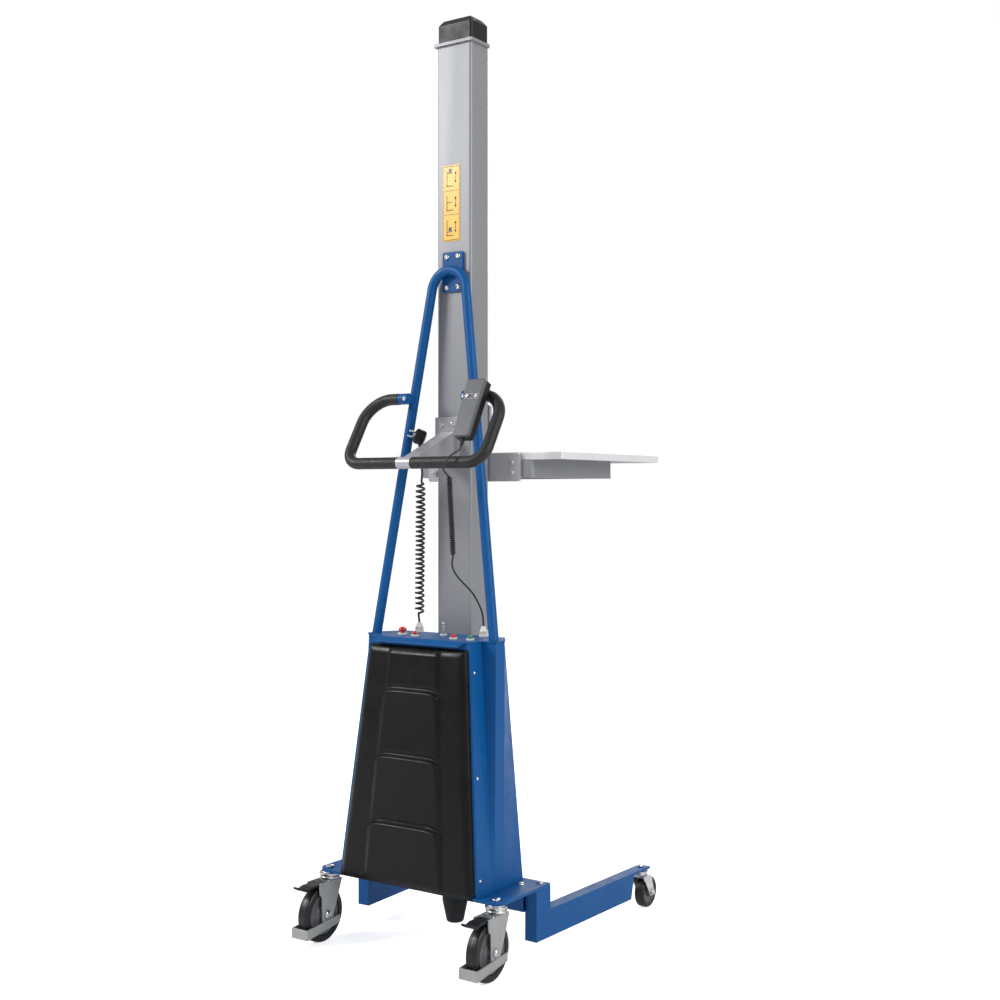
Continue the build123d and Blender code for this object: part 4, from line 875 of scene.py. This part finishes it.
# ------------------------------------------------------------------ panel controls
class LIFT_OT_controls(bpy.types.Operator):
    """Make the lamps, the stop button and the cord glands"""
    bl_idname = "lift.controls"
    bl_label = "Panel controls"

    def execute(self, context):
        red = lens("red_lens", (0.5, 0.004, 0.008), 0.12)
        green = lens("green_lens", (0.01, 0.22, 0.1), 0.12)
        lens_radius, lens_wall, lens_crown = 0.0059, 0.007, 0.005
        dome = [(0.0, 0.0005), (lens_radius, 0.0005), (lens_radius, lens_wall)]
        dome += [(lens_radius * cos(a * pi / 16), lens_wall + lens_crown * sin(a * pi / 16))
                 for a in range(1, 8)]
        dome += [(0.0, lens_wall + lens_crown)]
        lamps = []
        for name, x, y, tint in (("left", -40, -92, red), ("middle", 67, -94, red),
                                 ("right", 111, -92, green)):
            where = Matrix.Translation(Vector((x * MM, MAST_BACK + y * MM, PANEL_TOP)))
            lamps.append(lathe(f"{name}_lamp_lens", dome, where, 32))
            dress(lamps[-1], "base", tint)
        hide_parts("lamp_lenses")

        low, high = corners_of("stop_button")
        middle = (low + high) / 2
        where = Matrix.Translation(Vector((middle.x, middle.y, 0)))
        base = high.z - 0.013
        head, shoulder, head_crown = 0.0089, 0.0035, 0.006
        dome = [(0.0, low.z), (0.005, low.z), (0.005, base), (0.0078, base), (0.0088, base + 0.0012),
                (head, base + shoulder)]
        dome += [(head * cos(a * pi / 20), base + shoulder + head_crown * sin(a * pi / 20))
                 for a in range(1, 10)]
        dome += [(0.0, base + shoulder + head_crown)]
        button = lathe("stop_button_head", dome, where, 48, crease=40)
        dress(button, "stop_button", material_of("stop_red"))
        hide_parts("stop_button")

        cream = material_of("cream_plastic")
        up = Vector((0, 0, 1))
        gland_back, rib_height = -15, 0.009
        body = [(0.0, 0.0), (0.0098, 0.0), (0.0098, 0.005), (0.0088, 0.006), (0.0085, 0.012),
                (0.0078, 0.0145), (0.0062, 0.0175), (0.005, 0.021), (0.0042, 0.0228), (0.0026, 0.023),
                (0.0, 0.0215)]
        glands = []
        raised = []
        for side, x in (("left", -87), ("right", 92)):
            spot = place(x, gland_back, 0) + Vector((0, 0, PANEL_TOP))
            glands.append(lathe(f"{side}_gland_body", body, Matrix.Translation(spot), 40, crease=35))
            dress(glands[-1], "base", cream)
            raised.append((spot + Vector((0, 0, rib_height)), up, 1.0))
        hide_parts("cord_glands")
        settings = {"Ring radius": 0.0088, "Rib count": 20, "Rib size": (0.0012, 0.0011, 0.0062),
                    "Finish": cream}
        ribs = grow("gland_ribs", raised, rib_tree(), settings)
        dress(ribs, "base", cream)
        return {"FINISHED"}


# ------------------------------------------------------------------ plug
def plug_pieces():
    """The charger's plug: a round moulded body with a finger ridge, and two bright pins."""
    spot = place(-58, -51, 1130)
    run = Vector((-0.8, -0.45, 0.35)).normalized()
    half_body, pin_foot, pin_apart, neck_drop = 0.012, 0.0118, 0.006, 0.025
    black = material_of("cap_plastic")
    where = axes_matrix(spot - run * half_body, run, (0, 0, 1))
    body = [(0.0, 0.0), (0.012, 0.0), (0.0155, 0.0012), (0.0172, 0.004), (0.018, 0.0085), (0.0174, 0.0105),
            (0.0174, 0.0125), (0.018, 0.0145), (0.0177, 0.019), (0.016, 0.0225), (0.013, 0.024), (0.0, 0.024)]
    plug = lathe("plug_body", body, where, 56)
    dress(plug, "base", black)
    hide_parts("charger_plug")
    neck = [(0.0, 0.0), (0.0034, 0.0), (0.0036, 0.002), (0.0033, 0.0026), (0.0039, 0.005), (0.0036, 0.0056),
            (0.0043, 0.008), (0.004, 0.0086), (0.0048, 0.0115), (0.0, 0.0118)]
    relief = lathe("plug_relief", neck, Matrix.Translation(spot - Vector((0, 0, neck_drop))), 28)
    dress(relief, "base", black)
    shape = [(0.0, 0.0), (0.0021, 0.0), (0.0021, 0.0145), (0.0016, 0.0158), (0.0, 0.0163)]
    pins = []
    for side, way in (("left", -1), ("right", 1)):
        sideways = where.to_3x3() @ Vector((way * pin_apart, 0, 0))
        foot = axes_matrix(spot + run * pin_foot + sideways, run, (0, 0, 1))
        pins.append(lathe(f"plug_pin_{side}", shape, foot, 20))
        dress(pins[-1], "base", material_of("bright_zinc"))
    return [plug, relief, *pins]


# ------------------------------------------------------------------ castor cups and the handset's strip
class CupSettings(bpy.types.PropertyGroup):
    rear: bpy.props.FloatProperty(
        name="Rear cup", description="Radius of the rear castors' bearing cup", default=0.024, unit="LENGTH")
    front: bpy.props.FloatProperty(
        name="Front cup", description="Radius of the front castors' bearing cup", default=0.018,
        unit="LENGTH")


def nut_outline(size):
    """A hexagon with the given corner radius."""
    return [(size * cos(k * pi / 3), size * sin(k * pi / 3)) for k in range(6)]


class LIFT_OT_cups(bpy.types.Operator):
    """Make the pressed bearing cups and the nuts that hold the castors"""
    bl_idname = "lift.cups"
    bl_label = "Castor cups"

    def execute(self, context):
        sizes = context.scene.lift_cups
        zinc = material_of("bright_zinc")
        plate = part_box("base_plate")[0].z
        turns = {joint["child"]: joint["pos_m"] for joint in frame["joints"]
                 if joint["name"].endswith("_turn")}
        front_plate, nut_rise, stem_radius, stem_drop = 0.095, 0.006, 0.0038, 0.0042
        cups = []
        for name in CASTORS:
            rear = name.startswith("rear")
            x, y, _ = turns[f"{name}_swivel"]
            ceiling = plate if rear else front_plate
            radius, depth = (sizes.rear, 0.017) if rear else (sizes.front, 0.012)
            where = Matrix.Translation(Vector((x, y, ceiling - depth)))
            lip = radius * 0.93
            shape = [(0.0, 0.0), (lip - 0.002, 0.0), (lip, 0.0012), (lip, depth * 0.3),
                     (lip - 0.0012, depth * 0.38), (lip - 0.0012, depth * 0.44),
                     (radius - 0.001, depth * 0.48), (radius, depth * 0.56), (radius, depth * 0.78),
                     (radius - 0.0015, depth * 0.86), (radius - 0.004, depth * 0.9),
                     (radius - 0.004, depth), (0.0, depth)]
            cups.append(lathe(f"{name}_cup", shape, where, 56, crease=40))
            dress(cups[-1], "base", zinc)
            size = 0.0098 if rear else 0.0078
            nut = prism(f"{name}_nut", nut_outline(size), 0.0049,
                        Matrix.Translation(Vector((x, y, ceiling + nut_rise))), 0.0008, 2)
            dress(nut, "base", zinc)
            pin = [(0.0, -stem_drop), (stem_radius, -stem_drop), (stem_radius, depth + nut_rise),
                   (0.0, depth + nut_rise)]
            stem = lathe(f"{name}_stem", pin, where, 24)
            dress(stem, "base", zinc)
        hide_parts("caster_heads")
        return {"FINISHED"}


class LIFT_OT_key_strip(bpy.types.Operator):
    """Make the pale frame round the handset's two keys"""
    bl_idname = "lift.key_strip"
    bl_label = "Key strip"

    def execute(self, context):
        lean = radians(26)
        along, sunk, proud, rim = 0.027, 0.0015, 0.0009, 0.0014
        half_wide, half_tall, corner = 0.0192, 0.0068, 0.0028
        out = Vector((0, -cos(lean), sin(lean)))
        up = Vector((0, sin(lean), cos(lean)))
        middle = place(130, -126, 1188) + up * along - out * sunk
        where = axes_matrix(middle, out, (1, 0, 0))
        outer = rounded_outline(rectangle(half_wide, half_tall), corner)
        inner = rounded_outline(rectangle(half_wide - rim, half_tall - rim), corner - 0.001)
        count = len(outer)
        points = [where @ Vector((x, y, z)) for ring in (outer, inner) for z in (0.0, proud) for x, y in ring]
        faces = []
        for i in range(count):
            j = (i + 1) % count
            for a, b in ((0, 1), (1, 3), (3, 2), (2, 0)):
                faces.append((a * count + i, a * count + j, b * count + j, b * count + i))
        strip = mesh_piece("key_strip", points, faces)
        turn_outwards(strip)
        strip.data.set_sharp_from_angle(angle=radians(40))
        dress(strip, "base", material_of("bracket_silver"))
        return {"FINISHED"}


# ------------------------------------------------------------------ stage
class StageSettings(bpy.types.PropertyGroup):
    floor: bpy.props.FloatVectorProperty(
        name="Floor colour", description="Colour of the floor", subtype="COLOR",
        default=(0.86, 0.86, 0.87))
    floor_lift: bpy.props.FloatProperty(
        name="Floor lift", description="How much paler the floor is shown than it is lit", default=0.62)
    sky: bpy.props.FloatProperty(
        name="Sky light", description="Strength of the soft light all round", default=0.5)


def area_light(name, spot, aim, size, power):
    """A soft square light that looks at a point."""
    lamp = bpy.data.lights.new(name, "AREA")
    lamp.size = size
    lamp.energy = power
    holder = bpy.data.objects.new(name, lamp)
    holder.location = spot
    holder.rotation_euler = (Vector(aim) - Vector(spot)).to_track_quat("-Z", "Y").to_euler()
    bpy.context.scene.collection.objects.link(holder)


class LIFT_OT_stage(bpy.types.Operator):
    """Make the floor, the light and the camera"""
    bl_idname = "lift.stage"
    bl_label = "Stage"

    def execute(self, context):
        scene = context.scene
        sizes = scene.lift_stage
        floor = mesh_piece("floor", [(x, y, 0) for x, y in rectangle(30, 30)], [(0, 1, 2, 3)])
        material, tree, surface, _ = shader("floor_paint")
        surface.inputs["Base Color"].default_value = (*sizes.floor, 1)
        surface.inputs["Roughness"].default_value = 0.9
        surface.inputs["Emission Color"].default_value = (1, 1, 1, 1)
        seen = tree.nodes.new("ShaderNodeLightPath").outputs["Is Camera Ray"]
        glow = spread(tree, seen, 0.0, sizes.floor_lift, 0.0, 1.0)
        tree.links.new(glow, surface.inputs["Emission Strength"])
        floor.data.materials.append(material)
        world = bpy.data.worlds.new("studio")
        world.use_nodes = True
        sky = world.node_tree
        light = sky.nodes["Background"]
        light.inputs["Color"].default_value = (1, 1, 1, 1)
        seen = sky.nodes.new("ShaderNodeLightPath").outputs["Is Camera Ray"]
        sky.links.new(spread(sky, seen, sizes.sky, 1.0, 0.0, 1.0), light.inputs["Strength"])
        scene.world = world
        area_light("key", (-3.4, -3.4, 3.6), (0, 0, 1.0), 1.6, 190)
        area_light("right_fill", (4.5, -0.6, 2.8), (0, 0, 1.0), 2.4, 130)
        area_light("back_rim", (-1.5, 4.5, 3.5), (0, 0, 1.2), 2.5, 90)
        scene.view_settings.view_transform = "Standard"
        lens_data = bpy.data.cameras.new("camera")
        lens_data.lens = 49.28
        lens_data.sensor_width = 36
        lens_data.shift_y = -0.0067
        camera = bpy.data.objects.new("camera", lens_data)
        camera.location = (1.8325, MAST_BACK - 2.5041, 1.0029)
        camera.rotation_euler = (radians(90), 0, radians(34.27))
        scene.collection.objects.link(camera)
        scene.camera = camera
        return {"FINISHED"}


class LIFT_PT_panel(bpy.types.Panel):
    """Sizes, colours and the pieces of the lift"""
    bl_label = "Work positioner"
    bl_idname = "LIFT_PT_panel"
    bl_space_type = "VIEW_3D"
    bl_region_type = "UI"
    bl_category = "Lift"

    def draw(self, context):
        for name in GROUPS:
            settings = getattr(context.scene, name)
            for key in settings.bl_rna.properties.keys():
                if key not in ("rna_type", "name"):
                    self.layout.prop(settings, key)
        for operator in OPERATORS:
            self.layout.operator(operator.bl_idname)


GROUPS = {"lift_cords": CordSettings, "lift_screws": ScrewSettings, "lift_pad": PadSettings,
          "lift_cups": CupSettings, "lift_stage": StageSettings}
OPERATORS = [LIFT_OT_stage, LIFT_OT_paint, LIFT_OT_cords, LIFT_OT_screws, LIFT_OT_back_pad, LIFT_OT_wheels,
             LIFT_OT_label, LIFT_OT_controls, LIFT_OT_cups, LIFT_OT_key_strip]


def register():
    """Register every class and hang the settings on the scene."""
    for kind in (*GROUPS.values(), *OPERATORS, LIFT_PT_panel):
        bpy.utils.register_class(kind)
    for name, kind in GROUPS.items():
        setattr(bpy.types.Scene, name, bpy.props.PointerProperty(type=kind))


def unregister():
    """Undo what register did."""
    for name in GROUPS:
        delattr(bpy.types.Scene, name)
    for kind in (LIFT_PT_panel, *reversed(OPERATORS), *reversed(GROUPS.values())):
        bpy.utils.unregister_class(kind)


def main():
    """Make every piece in order."""
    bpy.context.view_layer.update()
    register()
    for operator in OPERATORS:
        family, action = operator.bl_idname.split(".")
        getattr(getattr(bpy.ops, family), action)()


if __name__ == "__main__":
    main()
